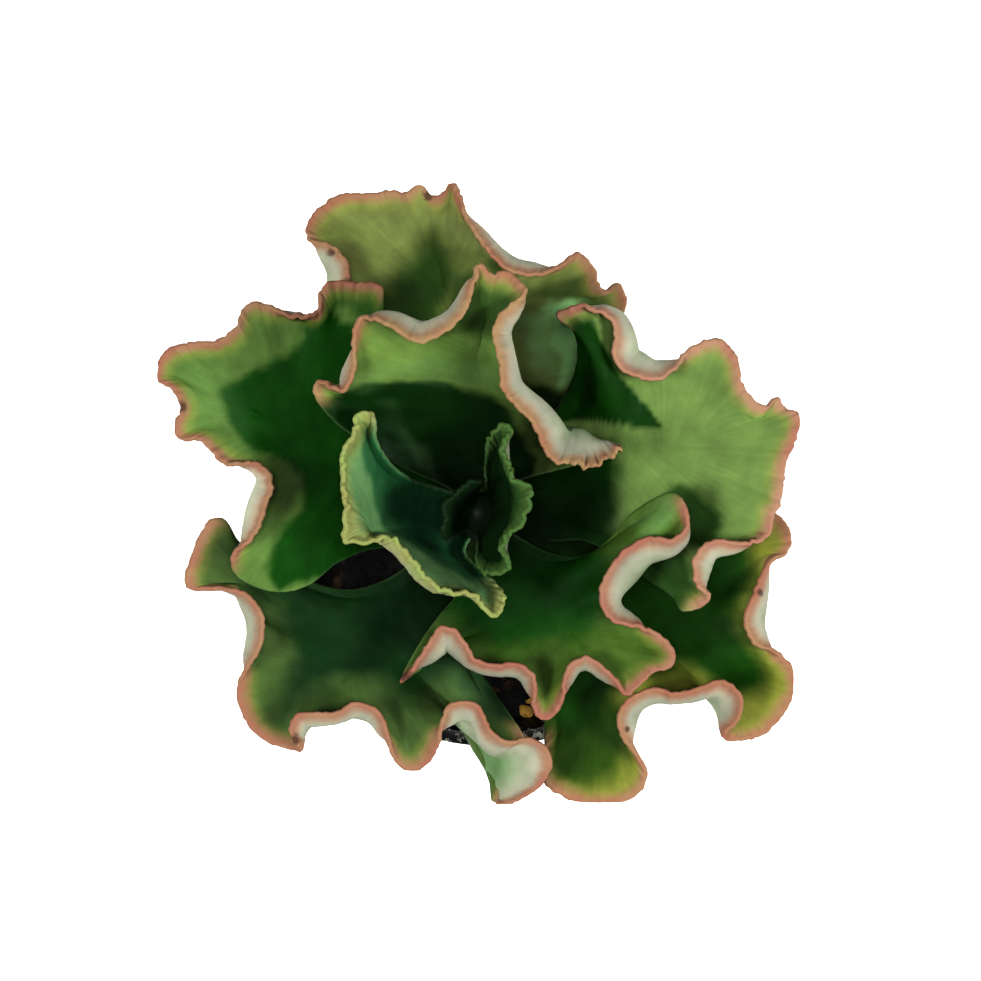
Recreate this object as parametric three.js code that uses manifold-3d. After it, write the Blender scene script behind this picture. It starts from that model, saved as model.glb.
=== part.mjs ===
// A coral reef echeveria growing in a round black plastic pot.
// Millimetres, +Z up. The origin is on the pot's axis, on the underside of its base.

import * as THREE from 'three';
import { mergeVertices } from 'three/addons/utils/BufferGeometryUtils.js';
import Module from 'manifold-3d';

const wasm = await Module();
wasm.setup();

// Driving dimensions of the pot, a 10 cm nursery pot with a rolled rim band.
const POT_HEIGHT = 85;
const POT_RIM_RADIUS = 50;
const POT_BASE_RADIUS = 36;
const POT_WALL = 1.6;
const POT_RIM_DEPTH = 10;
const POT_RIM_STEP = 1.8;
const POT_BASE_BEVEL = 1.5;
const POT_RIM_BEVEL = 0.8;
const POT_BAND_BEVEL = 0.5;
const POT_SIDES = 56;
const DRAIN_HOLES = 8;
const DRAIN_HOLE_RADIUS = 4.5;
const DRAIN_HOLE_SIDES = 16;
const DRAIN_CIRCLE_RADIUS = 25;

// Clearance between two pieces that touch on the real plant.
const SEAT_GAP = 0.3;

// The potting mix fills the pot to just under its rim. Swells and crumbs make its top lumpy.
const SOIL_TOP = 76;
const SOIL_SWELL = 0.66;
const SOIL_CRUMB = 0.55;
const SOIL_EDGE_DROP = 1.5;
const SOIL_PLAY = 0.5;
const SOIL_RINGS = 11;
const SOIL_SIDES = 40;

// Grains half sunk in the soil, as [x, y, size]. These show between the leaves, and the rest lie at
// random round the stem.
const SEEN_GRAINS = [[7.2, -41, 2.1], [4.6, -37, 1.5], [2.6, -34.5, 1.2], [-36, -12.5, 1.7]];
const GRAIN_COUNT = 34;
const GRAINS_FROM = 13;
const GRAINS_TO = 40;
const GRAIN_SMALLEST = 0.9;
const GRAIN_LARGEST = 1.8;
const GRAIN_SHAPE = [1.2, 0.9, 0.8];
const GRAIN_LIFT = 0.1;
const GRAIN_SEED = 27;

// The stem stands a little off the pot's axis, and all the leaves grow from it. Its outline between
// its foot and its rounded top is given as [radius, height].
const STEM_X = -3;
const STEM_Y = 4;
const STEM_FOOT = 58;
const STEM_FOOT_RADIUS = 4.2;
const STEM_OUTLINE = [[6.3, 66], [7, 76], [7, 92], [5.4, 101]];
const STEM_TOP = 106;
const STEM_TOP_RADIUS = 3;
const STEM_TOP_ROUND = 2;
const STEM_SIDES = 20;

// A blade is thickest at its neck, which starts inside the stem. It thins along the midrib and out to
// its edge. A steep leaf stands round the heart. It is younger, thinner and bluer.
const NECK_RADIUS = 4.2;
const NECK_THICK = 4.2;
const RIB_END_THICK = 2.4;
const EDGE_THICK = 1.1;
const THINNING = 0.8;
const STEEP_SLOPE = 50;
const HEART_THICK_SHARE = 0.6;

// How a blade is divided: its rays crowd towards the tip of the midrib, and each has these steps from
// the midrib out to the edge. The shoulder of the roll is one of them.
const RIB_PACE = 0.6;
const RAY_STEPS = [0, 0.16, 0.32, 0.5, 0.62, 0.75, 0.88, 1];
const SHOULDER_AT = RAY_STEPS.indexOf(0.75);
const MARGIN_SAMPLES = 1200;

// The section of a blade behind its edge. Behind a flat edge it lies back along the ray. Under a
// rolled one it lies out by a share of the roll, less an inset, and down by a depth and a share of the
// roll. Short rays have less of both.
const SHOULDER = { back: 4, outShare: 1, inset: 0, drop: 2, dropShare: 0.67 };
const FOOT = { back: 9, outShare: 1.5, inset: 8.5, drop: 4, dropShare: 1.1 };
const MIDDLE = { ahead: 0.55, aside: 0.42, up: 0.4 };
const SQUARE_SHARE = 0.6;
const FULLY_ROLLED = 2.5;
const DEEPEST_ROLL = 6.5;
const FULL_REACH = 22;

// How often, and how much, the blade is evened out. The shares are for the steps from two before the
// shoulder to one after it. Drawing taut keeps the height of the steps next to the shoulder.
const EVEN_PASSES = 2;
const EVEN_SHARES = [0.5, 0.5, 0.5, 0.25];
const TAUT_PASSES = 60;
const TAUT_SHARE = 0.9;
const HEIGHT_KEPT_STEPS = 2;
const NORMAL_PASSES = 4;
const NORMAL_SHARE = 0.3;

const COLOURS = { leaf: 0x4a7d33, youngLeaf: 0x4f8a5a, stem: 0x7f8f55, soil: 0x17120e, pot: 0x151616 };
const ROUGHNESS = { leaf: 0.55, stem: 0.6, soil: 0.95, pot: 0.45 };

function material(colour, roughness) {
  return new THREE.MeshStandardMaterial({ color: colour, roughness, metalness: 0 });
}

// A solid for joining and cutting, from a closed geometry.
function solidOf(geometry) {
  const bare = geometry.clone();
  bare.deleteAttribute('normal');
  bare.deleteAttribute('uv');
  const merged = mergeVertices(bare, 1e-4);
  return new wasm.Manifold(new wasm.Mesh({
    numProp: 3,
    vertProperties: new Float32Array(merged.attributes.position.array),
    triVerts: new Uint32Array(merged.index.array),
  }));
}

function geometryOf(solid) {
  const mesh = solid.getMesh();
  const geometry = new THREE.BufferGeometry();
  geometry.setAttribute('position', new THREE.BufferAttribute(new Float32Array(mesh.vertProperties), 3));
  geometry.setIndex(new THREE.BufferAttribute(new Uint32Array(mesh.triVerts), 1));
  geometry.computeVertexNormals();
  return geometry;
}

// A geometry from corner positions in a row and triangles of their numbers.
function geometryFrom(positions, triangles) {
  const geometry = new THREE.BufferGeometry();
  geometry.setAttribute('position', new THREE.Float32BufferAttribute(positions, 3));
  geometry.setIndex(triangles);
  return geometry;
}

// A body turned about the vertical axis, from [radius, height] points that start and end on it.
function turned(profile, sides) {
  const geometry = new THREE.LatheGeometry(profile.map(([r, z]) => new THREE.Vector2(r, z)), sides);
  geometry.rotateX(Math.PI / 2);
  return geometry;
}

// Repeatable random numbers from 0 to 1.
function seededRandom(seed) {
  const range = 2 ** 32;
  let state = seed;
  return () => {
    state = (state * 1664525 + 1013904223) % range;
    return state / range;
  };
}

// The level direction at an angle in degrees.
function facing(degrees) {
  const angle = THREE.MathUtils.degToRad(degrees);
  return new THREE.Vector3(Math.cos(angle), Math.sin(angle), 0);
}

// The radius of the pot's tapered outer wall at a height.
function potOuterRadius(z) {
  const wallTop = POT_RIM_RADIUS - POT_RIM_STEP;
  return POT_BASE_RADIUS + (wallTop - POT_BASE_RADIUS) * (z / POT_HEIGHT);
}

function potInnerRadius(z) {
  return potOuterRadius(z) - POT_WALL;
}

// The pot is one moulded shell: a tapered wall, a thicker rim band, and a base with drain holes.
function potGeometry() {
  const band = POT_HEIGHT - POT_RIM_DEPTH;
  let pot = solidOf(turned([
    [0, 0],
    [POT_BASE_RADIUS - POT_BASE_BEVEL, 0],
    [POT_BASE_RADIUS, POT_BASE_BEVEL],
    [potOuterRadius(band), band],
    [POT_RIM_RADIUS - POT_BAND_BEVEL, band + POT_BAND_BEVEL],
    [POT_RIM_RADIUS, POT_HEIGHT - POT_RIM_BEVEL],
    [POT_RIM_RADIUS - POT_RIM_BEVEL, POT_HEIGHT],
    [potInnerRadius(POT_HEIGHT), POT_HEIGHT],
    [potInnerRadius(POT_WALL), POT_WALL],
    [0, POT_WALL],
  ], POT_SIDES));
  const drill = new THREE.CylinderGeometry(DRAIN_HOLE_RADIUS, DRAIN_HOLE_RADIUS, 4 * POT_WALL,
    DRAIN_HOLE_SIDES);
  drill.rotateX(Math.PI / 2);
  for (let hole = 0; hole < DRAIN_HOLES; hole += 1) {
    const place = facing((hole + 0.5) * 360 / DRAIN_HOLES).multiplyScalar(DRAIN_CIRCLE_RADIUS);
    pot = pot.subtract(solidOf(drill.clone().translate(place.x, place.y, POT_WALL)));
  }
  return geometryOf(pot);
}

// The stem, or with grow above nought the room that it needs in what it stands in.
function stemSolid(grow) {
  const geometry = turned([
    [0, STEM_FOOT - grow],
    [STEM_FOOT_RADIUS + grow, STEM_FOOT - grow],
    ...STEM_OUTLINE.map(([radius, height]) => [radius + grow, height]),
    [STEM_TOP_RADIUS + grow, STEM_TOP - STEM_TOP_ROUND + grow],
    [0, STEM_TOP + grow],
  ], STEM_SIDES);
  geometry.translate(STEM_X, STEM_Y, 0);
  return solidOf(geometry);
}

// The height of the soil's lumpy top. The numbers inside set how far apart its lumps are.
function soilHeight(x, y) {
  const swell = Math.sin(x * 0.13 + 1.1) * Math.cos(y * 0.16 - 0.4);
  const crumb = Math.sin(x * 0.61 + y * 0.37) * Math.sin(y * 0.53 - x * 0.29 + 2);
  return SOIL_TOP + SOIL_SWELL * swell + SOIL_CRUMB * crumb;
}

// The fill of soil: its lumpy top in rings, its side against the pot, and its flat underside.
function soilFill() {
  const topRadius = potInnerRadius(SOIL_TOP) - SOIL_PLAY;
  const floor = POT_WALL + SEAT_GAP;
  const floorRadius = potInnerRadius(floor) - SOIL_PLAY;
  const positions = [0, 0, soilHeight(0, 0)];
  for (let ring = 1; ring <= SOIL_RINGS + 1; ring += 1) {
    for (let side = 0; side < SOIL_SIDES; side += 1) {
      const out = ring > SOIL_RINGS ? floorRadius : topRadius * ring / SOIL_RINGS;
      const { x, y } = facing(side * 360 / SOIL_SIDES).multiplyScalar(out);
      const edgeHeight = ring > SOIL_RINGS ? floor : SOIL_TOP - SOIL_EDGE_DROP;
      positions.push(x, y, ring < SOIL_RINGS ? soilHeight(x, y) : edgeHeight);
    }
  }
  const last = positions.length / 3;
  positions.push(0, 0, floor);
  const triangles = [];
  for (let side = 0; side < SOIL_SIDES; side += 1) {
    const next = (side + 1) % SOIL_SIDES;
    triangles.push(0, 1 + side, 1 + next);
    for (let ring = 0; ring < SOIL_RINGS; ring += 1) {
      const inner = 1 + ring * SOIL_SIDES;
      const outer = inner + SOIL_SIDES;
      triangles.push(inner + side, outer + side, outer + next, inner + side, outer + next, inner + next);
    }
    triangles.push(last, last - SOIL_SIDES + next, last - SOIL_SIDES + side);
  }
  return solidOf(geometryFrom(positions, triangles));
}

// Soil fills the pot down to its base, round the stem, with grains that stand out of its top.
function soilGeometry() {
  let soil = soilFill().subtract(stemSolid(SEAT_GAP));
  const random = seededRandom(GRAIN_SEED);
  const grains = [...SEEN_GRAINS];
  while (grains.length < GRAIN_COUNT) {
    const turn = facing(360 * random());
    const out = GRAINS_FROM + (GRAINS_TO - GRAINS_FROM) * Math.sqrt(random());
    const size = GRAIN_SMALLEST + (GRAIN_LARGEST - GRAIN_SMALLEST) * random();
    grains.push([out * turn.x, out * turn.y, size]);
  }
  for (const [x, y, size] of grains) {
    const grain = new THREE.IcosahedronGeometry(size, 0);
    grain.scale(...GRAIN_SHAPE);
    grain.rotateZ(Math.PI * random());
    grain.translate(x, y, soilHeight(x, y) + GRAIN_LIFT * size);
    soil = soil.add(solidOf(grain));
  }
  return geometryOf(soil);
}

// Every leaf below has
//   heading: the way it grows from the stem, in degrees anticlockwise from +X
//   spread: half the angle of stem that its base takes up, in degrees
//   midrib: three control points, from inside the stem out towards the tip
//   crowd: how the rays sit along the left and the right margin, below 1 closer at the base, above 1
//     closer at the tip
//   slope: how steeply the blade reaches an edge that isn't rolled, in degrees
//   left, tip, right: the margin, clockwise from above, as [x, y, z, roll] stations. roll is how far
//     the rolled-up blade bulges out past its own edge. A fifth number is the way that it bulges, in
//     degrees, where it isn't square to the margin.
const LEAVES = [
  {
    name: 'leaf_north_outer', heading: 93, spread: 36, slope: 8, rays: 17, crowd: [0.85, 1],
    midrib: [[-3.2, 8.5, 80.5], [-6, 35, 88], [-11, 60, 93]],
    left: [
      [-8, 16, 83, 0], [-16, 28, 88, 0], [-23, 38, 92, 1], [-28.5, 46, 97, 3], [-31.3, 54, 101, 4.5],
      [-32, 59.5, 102, 4.5], [-35.5, 63.4, 101, 3.5], [-39.8, 64.8, 99, 1.2], [-41, 67.2, 97.5, 0],
      [-38.5, 72, 96.5, 0], [-33, 75.4, 96, 0], [-27, 75.3, 97, 0], [-22, 76, 97, 0], [-18.5, 75.4, 98, 0],
    ],
    tip: [-16, 77.5, 98.5, 0],
    right: [
      [-13, 74.6, 98.5, 0], [-10.5, 75.2, 99.5, 0], [-8.3, 77.8, 101, 0.3], [-5.7, 70.3, 103.5, 1.6],
      [-1.8, 63.7, 105, 2.4], [4, 57.7, 106, 2.9], [10.5, 56.7, 105, 2.5], [15, 58.6, 103, 1.2],
      [19.2, 61.5, 101, 0], [22.6, 58.8, 100, 0], [24, 54.5, 99, 1], [26, 53.6, 99, 1.3], [28.3, 55, 99, 0.3],
      [30, 51, 98, 0],
      [27.5, 45.5, 96, 0], [22, 38.5, 93, 0], [17, 31.5, 90.5, 0], [10, 24, 87, 0], [3.5, 15, 83.5, 0],
    ],
  },
  {
    name: 'leaf_southeast_outer', heading: 320, spread: 36, slope: 8, rays: 17, crowd: [0.85, 1],
    midrib: [[0, 1.5, 80.5], [22, -15, 87], [42, -30, 92]],
    left: [
      [10, 2.5, 83, 0], [24, 4, 87, 0], [38, 6, 91, 0], [50, 6.8, 94, 0], [60.5, 5.5, 97, 0],
      [66.2, 0.8, 98, 0], [66.3, -4, 99, 0.4], [61.7, -7.2, 101, 1.5], [59.4, -12, 102, 2.5],
      [57.2, -16.5, 103, 4], [56.5, -20.5, 103, 4.5], [58.5, -24.5, 102, 3.5], [63.6, -27, 99, 1],
      [67.5, -31, 97, 0], [68.6, -35.5, 95.5, 0], [66.5, -39.8, 94.5, 0], [63, -44.3, 94.5, 0],
      [58, -46.6, 95.5, 0],
    ],
    tip: [52, -45.8, 98, 0.7],
    right: [
      [55, -41.5, 101, 3.5], [55.2, -36.5, 103, 4.5], [51.5, -33.2, 103.5, 4], [47, -34.3, 103, 3.5],
      [42, -36, 102.5, 3], [36.5, -35, 102.5, 4], [31, -37, 102.5, 4.5], [28.5, -41.2, 102, 4.5],
      [29.7, -46, 100, 2.5], [33, -50.5, 97, 0.3], [35, -54.8, 95.5, 0], [33, -59, 94.5, 0],
      [28, -61.6, 94, 0], [22, -61.6, 94, 0], [16, -59.3, 94, 0], [12, -56, 94, 0], [12.5, -49, 92.5, 0],
      [12.5, -41, 90.5, 0], [11, -31, 88, 0], [8, -19, 85, 0], [3.5, -8, 82.5, 0],
    ],
  },
  {
    name: 'leaf_southwest_outer', heading: 228, spread: 51, slope: 8, rays: 19, crowd: [1.2, 1.55],
    midrib: [[-5.5, 0.5, 81], [-20, -22, 89], [-33, -34, 93]],
    left: [
      [-5.5, -10, 83.5, 0], [-6, -19, 87, 0], [-4.5, -28, 90, 0], [-0.5, -35, 92, 0], [4, -41.5, 93.5, 0],
      [7, -46, 94, 0], [8, -51, 94, 0], [6.5, -56.5, 95, 0], [1.5, -61.3, 97, 0.5, 180],
      [6, -59.8, 99.5, 5, 175], [10.7, -56.4, 101.5, 9, 178], [13.2, -51.5, 103, 12, 185],
      [11.6, -47.4, 103.5, 10.5, 200], [8, -45.8, 103.5, 7.5, 215], [4.2, -46.6, 103, 5, 225],
      [0.6, -45, 102.5, 3.5, 225], [-1.4, -41.5, 102.5, 2.6, 235], [-3, -38.6, 103, 3.2, 245],
      [-6, -37.7, 103, 4, 262], [-9, -38.7, 103, 3.6, 285], [-10.7, -42, 102, 2.2], [-11.5, -46.5, 99.5, 0.8],
      [-14, -51.5, 96.5, 0],
      [-17.2, -53.6, 95.5, 0], [-20.4, -52.6, 95.5, 0], [-22.4, -48.5, 97.5, 1], [-23.4, -43.5, 100, 3],
      [-26, -39.2, 102, 4.5], [-30, -38.2, 102.5, 4.5], [-34.5, -40.3, 102.5, 4], [-39, -40.4, 102.5, 4],
      [-42.8, -40.8, 102, 4], [-44.4, -44.5, 100.5, 3, 330],
    ],
    tip: [-42.3, -48.8, 97.5, 0.5],
    right: [
      [-46.5, -48.4, 95, 0], [-51, -46.8, 94.5, 0], [-54.4, -43.3, 94.5, 0], [-56.3, -39, 95, 0],
      [-56.4, -34.5, 96.5, 0.5], [-54, -30, 99, 2], [-51.5, -26, 101, 3.2], [-50.5, -21.5, 102, 3.6],
      [-51.5, -17, 102, 3.5], [-54.5, -14, 101.5, 2.8], [-59, -12.8, 100.5, 0.6], [-64, -12.9, 98.7, 0],
      [-67.4, -12.6, 98, 0], [-67.9, -10, 98, 0], [-66.5, -6, 98.5, 0], [-65, -2, 99, 0],
      [-62, 2.3, 99.5, 0], [-59.4, 2.3, 99, 0], [-57.2, -1.6, 97.5, 0], [-52, -6.4, 96, 0],
      [-45, -9, 94.5, 0], [-39.5, -12.2, 93, 0], [-32, -13.8, 91, 0], [-24, -11.8, 88.3, 0],
      [-16.5, -6.5, 85.5, 0],
    ],
  },
  {
    name: 'leaf_west', heading: 157, spread: 36, slope: 12, rays: 18, crowd: [1, 0.85],
    midrib: [[-7, 5.8, 86], [-30, 15, 97], [-52, 26, 102]],
    left: [
      [-14, -0.5, 90, 0], [-21, -2.8, 93, 0], [-28, -4, 95.5, 0], [-34.5, -6.8, 98, 0],
      [-40.3, -11.4, 100, 0], [-46, -13, 101, 0], [-51.5, -12, 102, 0], [-55.8, -9.3, 103, 0],
      [-57, -6, 104, 0.3], [-54.8, -3.4, 105.5, 1.5], [-51.3, 0.2, 107, 3], [-49.6, 4.8, 108, 4],
      [-48.2, 8.6, 108.5, 4.5], [-48.1, 12, 108.5, 4.5], [-50.6, 14.7, 107.5, 3], [-54.7, 15.1, 106, 1.5],
      [-58.5, 15.2, 105, 1], [-61.3, 18, 104.5, 1], [-63.5, 20.2, 104, 0.6], [-68.6, 20.8, 103, 0],
      [-69.3, 24, 103, 0], [-67.9, 27.5, 104, 0.6], [-70, 31.5, 104, 0.3],
    ],
    tip: [-73.6, 33.8, 103.5, 0],
    right: [
      [-73.2, 37.2, 103.5, 0], [-70.5, 40.2, 104, 0], [-65, 41.4, 105, 0.8], [-60, 41.8, 105.5, 1],
      [-56, 44.5, 105.5, 0.6], [-54.2, 48.8, 105, 0], [-51.5, 50.2, 105, 0], [-48, 49.2, 106, 1],
      [-44, 47.4, 107, 2], [-40, 47.2, 107, 1.6], [-37.5, 49, 106.5, 0.6], [-37.4, 52, 106, 0.1],
      [-35.5, 54.6, 105, 0], [-30, 54.6, 104.5, 0], [-24.5, 54, 104, 0], [-23.8, 47, 103, 0],
      [-21, 37, 100.5, 0], [-16, 25, 97, 0], [-10.5, 15, 92, 0],
    ],
  },
  {
    name: 'leaf_east', heading: 21, spread: 36, slope: 12, rays: 17, crowd: [1.4, 0.85],
    midrib: [[1, 5.5, 86], [25, 14, 96], [44, 20, 101]],
    left: [
      [7, 16, 93, 0], [13, 24.3, 98, 0], [17.8, 32, 103, 0], [19.4, 39, 108, 0], [18, 44, 111, 0],
      [14.6, 46.8, 112.5, 0.3], [18.5, 48.8, 113, 1.5], [22.5, 48.2, 112.5, 1.5], [26, 46.4, 112, 3],
      [27.3, 43, 112, 4.5], [26.7, 39, 112, 5.5], [28.5, 35.6, 111.5, 5.5], [32, 34, 111, 5.5],
      [36.5, 33.4, 110, 4.5], [40, 35.8, 108, 2.5], [43.9, 39.9, 106, 0.4], [48, 42, 105, 0],
      [51.2, 41.6, 104.5, 0], [54, 38, 105, 0.4], [55, 32.5, 105.5, 0.6], [57.8, 28.6, 105.5, 0.5],
      [60.8, 27.4, 105.5, 0],
    ],
    tip: [62.8, 29.2, 105, 0],
    right: [
      [64.4, 27.3, 105, 0], [67.6, 25.4, 106, 0], [67, 21, 105.5, 0], [64.8, 15.8, 105, 0],
      [64, 10.5, 105, 0], [63.4, 6.5, 105, 0], [61.7, 3, 105.5, 0.4], [61.4, 0, 105.5, 1],
      [57.5, -2.3, 106.5, 1.5], [52.5, -2.3, 108, 2.5], [48.2, -2.1, 109, 3.5], [45.3, -4.5, 109.5, 4],
      [44.5, -8, 109, 4], [45.4, -11.6, 107.5, 2.6], [48, -14.2, 105.5, 0.5], [46, -16.4, 104, 0],
      [42.2, -17, 103, 0], [40.5, -14.3, 102, 0], [38, -12.3, 101, 0], [34, -9.8, 99, 0],
      [28, -5.2, 97, 0], [21, -1.8, 94, 0], [13, -1.8, 91, 0],
    ],
  },
  {
    name: 'leaf_south', heading: 300, spread: 36, slope: 20, rays: 19, crowd: [1.2, 1],
    midrib: [[-1, 0.5, 91], [9, -15, 98], [19, -24, 99.5]],
    left: [
      [5, -1, 94, 0], [13, -5.2, 97, 0], [20, -5.8, 99.5, 0], [25.5, -2.5, 103, 0], [30.5, 3.4, 107, 0],
      [35.5, 7, 110, 0], [39.3, 8.3, 112, 0], [42, 5.5, 113, 0.4], [42.3, 1, 113, 2], [39.5, -1.6, 113, 3.5],
      [35, -1.2, 113, 5], [31, -2.6, 113, 5.5], [27.8, -5.4, 113, 6], [25.2, -9.2, 112.5, 6],
      [24, -13.2, 112, 6], [24.8, -17, 111, 5], [28, -19.6, 110, 3.5], [32.5, -20.6, 108.5, 1.8],
      [37, -22.9, 107, 0.4], [40.2, -26.4, 105, 0], [39.5, -29.6, 104, 0], [35.5, -31, 104, 0.4],
      [32.3, -33.8, 104.5, 0.8],
    ],
    tip: [30.2, -35.7, 104.5, 0.3],
    right: [
      [27, -32.2, 105.5, 2.5], [23.8, -29.1, 106.5, 4], [20.3, -27.6, 107, 4.5], [17.4, -29.5, 107, 3.8],
      [16.2, -33, 106, 2.6], [15.8, -37, 104, 0.7], [13.8, -40.6, 102.5, 0], [11, -41.1, 102, 0],
      [9.6, -38.5, 103, 0.8], [9.8, -34.5, 105, 2.6], [8.8, -30.8, 106, 3.6], [5, -29.1, 106, 3.3],
      [0.5, -29.4, 105.5, 2.4], [-3.3, -28.2, 105.5, 2.4], [-5.8, -24.5, 106, 3.6], [-8, -21.6, 106.5, 4.5],
      [-10.7, -21.1, 106.5, 5], [-13, -23.8, 105.5, 4.2], [-15.5, -28, 104, 2.2], [-19.8, -33.3, 102, 0],
      [-18, -29.5, 101.5, 0], [-14.5, -23.5, 100.5, 0], [-11, -18.7, 99, 0], [-7.5, -14.5, 97, 0],
      [-6, -8, 94.5, 0],
    ],
  },
  {
    name: 'leaf_north_inner', heading: 86, spread: 38, slope: 26, rays: 19, crowd: [1, 0.85],
    midrib: [[-2.8, 7, 95], [-3, 27, 118], [-1.5, 44, 122]],
    left: [
      [-11, 11, 102, 0], [-19, 14.5, 109, 0], [-27, 19.5, 114, 0], [-33.5, 24.5, 117, 0],
      [-37.2, 29.8, 119.5, 0], [-36.8, 31.8, 120.5, 0.3], [-33.8, 31.2, 122.5, 1], [-31, 30.2, 124, 2],
      [-29.2, 32.6, 125, 2.4], [-28.5, 36.5, 126, 2], [-28.5, 41, 127, 1], [-27.2, 44.6, 128, 0.8],
      [-24.5, 44.9, 129, 2], [-21, 43.4, 130, 3], [-17.5, 41.2, 130.5, 4], [-14.2, 39.9, 131, 4.8],
      [-11, 41.5, 131, 4.8], [-7.3, 43.8, 131, 4.4], [-5, 47.5, 131, 3.8], [-3.7, 51.5, 130.5, 2.4],
      [-2.2, 55.8, 130, 0.4], [0.5, 53.6, 129.5, 0.3],
    ],
    tip: [2.7, 54.4, 129, 0],
    right: [
      [6, 52.2, 129.5, 0.4], [7.2, 50.2, 130, 1], [5.4, 48.4, 130.5, 3], [2.5, 45.5, 131, 4.5],
      [0.7, 42, 131, 5.5], [1.6, 38.5, 131, 5.5], [2.2, 34.5, 130, 5.5], [2.8, 30.3, 129, 6],
      [5, 27.3, 127.5, 6.3], [8, 24.6, 125.5, 6.3], [10.4, 20.8, 124, 6.3], [11.8, 17.3, 122.5, 6.5],
      [14.2, 15.4, 121, 7], [18, 14.8, 119.5, 7.3], [21.5, 14.6, 118.5, 7], [25, 15.8, 118, 4.5],
      [27.6, 18.5, 117, 1.2], [26, 17.5, 114, 0], [20, 15.4, 111, 0], [13, 13.5, 107, 0],
      [6, 11.5, 102, 0],
    ],
  },
  {
    name: 'leaf_west_inner', heading: 190, spread: 65, slope: 60, rays: 15, crowd: [1.4, 1],
    midrib: [[-7, 3.3, 96], [-24, 0, 98], [-27, -0.5, 113]],
    left: [
      [-6, -4.5, 100, 0], [-2.5, -8.5, 106, 0], [1, -11.5, 111.5, 0], [2, -14, 115, 0], [0, -17.6, 116, 0],
      [-2, -15.5, 116.5, 0.6], [-4, -13.2, 117.5, 1.2], [-7.5, -12.2, 118, 1.4], [-11, -11.7, 118.5, 1.8],
      [-14.5, -8.8, 119, 2.2], [-17.5, -5.3, 119.5, 2.4], [-21, -1.6, 120, 2.2], [-25.5, -0.9, 120, 0.5],
    ],
    tip: [-30, -1.4, 120, 0],
    right: [
      [-30, 1.5, 120.5, 0.5], [-30.4, 6, 121, 1.2], [-31, 12, 121, 1.6], [-30.7, 17.3, 121, 1.2],
      [-28.8, 20, 121, 0.6], [-28.2, 24, 121, 0.2], [-25.3, 24.5, 120, 0], [-24.6, 19.8, 118, 0],
      [-21.6, 14.6, 113, 0], [-17.2, 11.2, 107, 0], [-12, 9.5, 101.5, 0],
    ],
  },
  {
    name: 'leaf_east_inner', heading: 5, spread: 92, slope: 60, rays: 10, crowd: [1.4, 1.2],
    midrib: [[-0.5, 4.3, 102], [5.5, 5, 104], [6.5, 6.5, 116]],
    left: [
      [-1, 9.5, 106, 0], [-1, 14, 112, 0], [-0.3, 18.6, 117.5, 0], [1.5, 21.8, 120, 0],
      [4, 22.4, 121, 0], [3.6, 19.5, 122, 0], [2.6, 17, 122, 0], [4.4, 13.5, 122.5, 0], [4.9, 10.8, 123, 0],
    ],
    tip: [8, 9.6, 123, 0],
    right: [
      [7.5, 6, 123, 0], [6.3, 2.2, 122.5, 0], [3.3, -0.5, 122, 0], [2.4, -3.2, 121, 0],
      [4.1, -5.4, 120, 0], [3.2, -7.4, 119, 0], [0, -8.2, 117, 0], [-2.5, -6.5, 113.5, 0],
      [-2.8, -2.5, 107.5, 0],
    ],
  },
  {
    name: 'heart_leaf_west', heading: 160, spread: 75, slope: 60, rays: 7, crowd: [1.4, 1],
    midrib: [[-4.5, 4.5, 105], [-8.5, 6, 106.5], [-9.2, 6, 114]],
    left: [[-7.2, -0.2, 109, 0], [-9.4, -1.2, 114, 0], [-10.2, 0.8, 117.5, 0], [-9.4, 3.2, 118.5, 0]],
    tip: [-9.6, 6, 119.5, 0],
    right: [[-7.6, 8, 118.5, 0], [-5.6, 10, 118, 0], [-2.6, 11, 116, 0], [-2.6, 9.4, 110, 0]],
  },
];

// A point on the quadratic curve of a midrib.
function midribPoint([from, by, to], t) {
  return new THREE.Vector3(...from.map((value, axis) => (
    (1 - t) ** 2 * value + 2 * t * (1 - t) * by[axis] + t * t * to[axis]
  )));
}

// The margin of a leaf as one smooth curve, with its roll and its outward direction at any point.
function marginOf(leaf) {
  const corner = (turn) => {
    const out = facing(leaf.heading + turn * leaf.spread).multiplyScalar(NECK_RADIUS);
    return [STEM_X + out.x, STEM_Y + out.y, leaf.midrib[0][2], 0];
  };
  const stations = [corner(1), ...leaf.left, leaf.tip, ...leaf.right, corner(-1)];
  const knots = stations.map(([x, y, z]) => new THREE.Vector3(x, y, z));
  const curve = new THREE.CatmullRomCurve3(knots, false, 'centripetal');
  curve.arcLengthDivisions = MARGIN_SAMPLES;
  const spans = stations.length - 1;
  const squareTo = (t) => {
    const along = curve.getTangent(THREE.MathUtils.clamp(t, 0.001, 0.999));
    return new THREE.Vector3(-along.y, along.x, 0).normalize();
  };
  const outwardAt = (station) => {
    const [, , , , turn] = stations[station];
    return turn === undefined ? squareTo(station / spans) : facing(turn);
  };
  const tipAt = (leaf.left.length + 1) / spans;
  const lengths = curve.getLengths();
  const tipShare = lengths[Math.round(tipAt * MARGIN_SAMPLES)] / lengths[MARGIN_SAMPLES];
  return (share) => {
    const t = curve.getUtoTmapping(share);
    const from = Math.min(Math.floor(t * spans), spans - 1);
    const part = t * spans - from;
    const square = stations[from].length < 5 && stations[from + 1].length < 5;
    return {
      tipShare,
      point: curve.getPoint(t),
      roll: THREE.MathUtils.lerp(stations[from][3], stations[from + 1][3], part),
      outward: square ? squareTo(t) : outwardAt(from).lerp(outwardAt(from + 1), part).normalize(),
    };
  };
}

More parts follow.
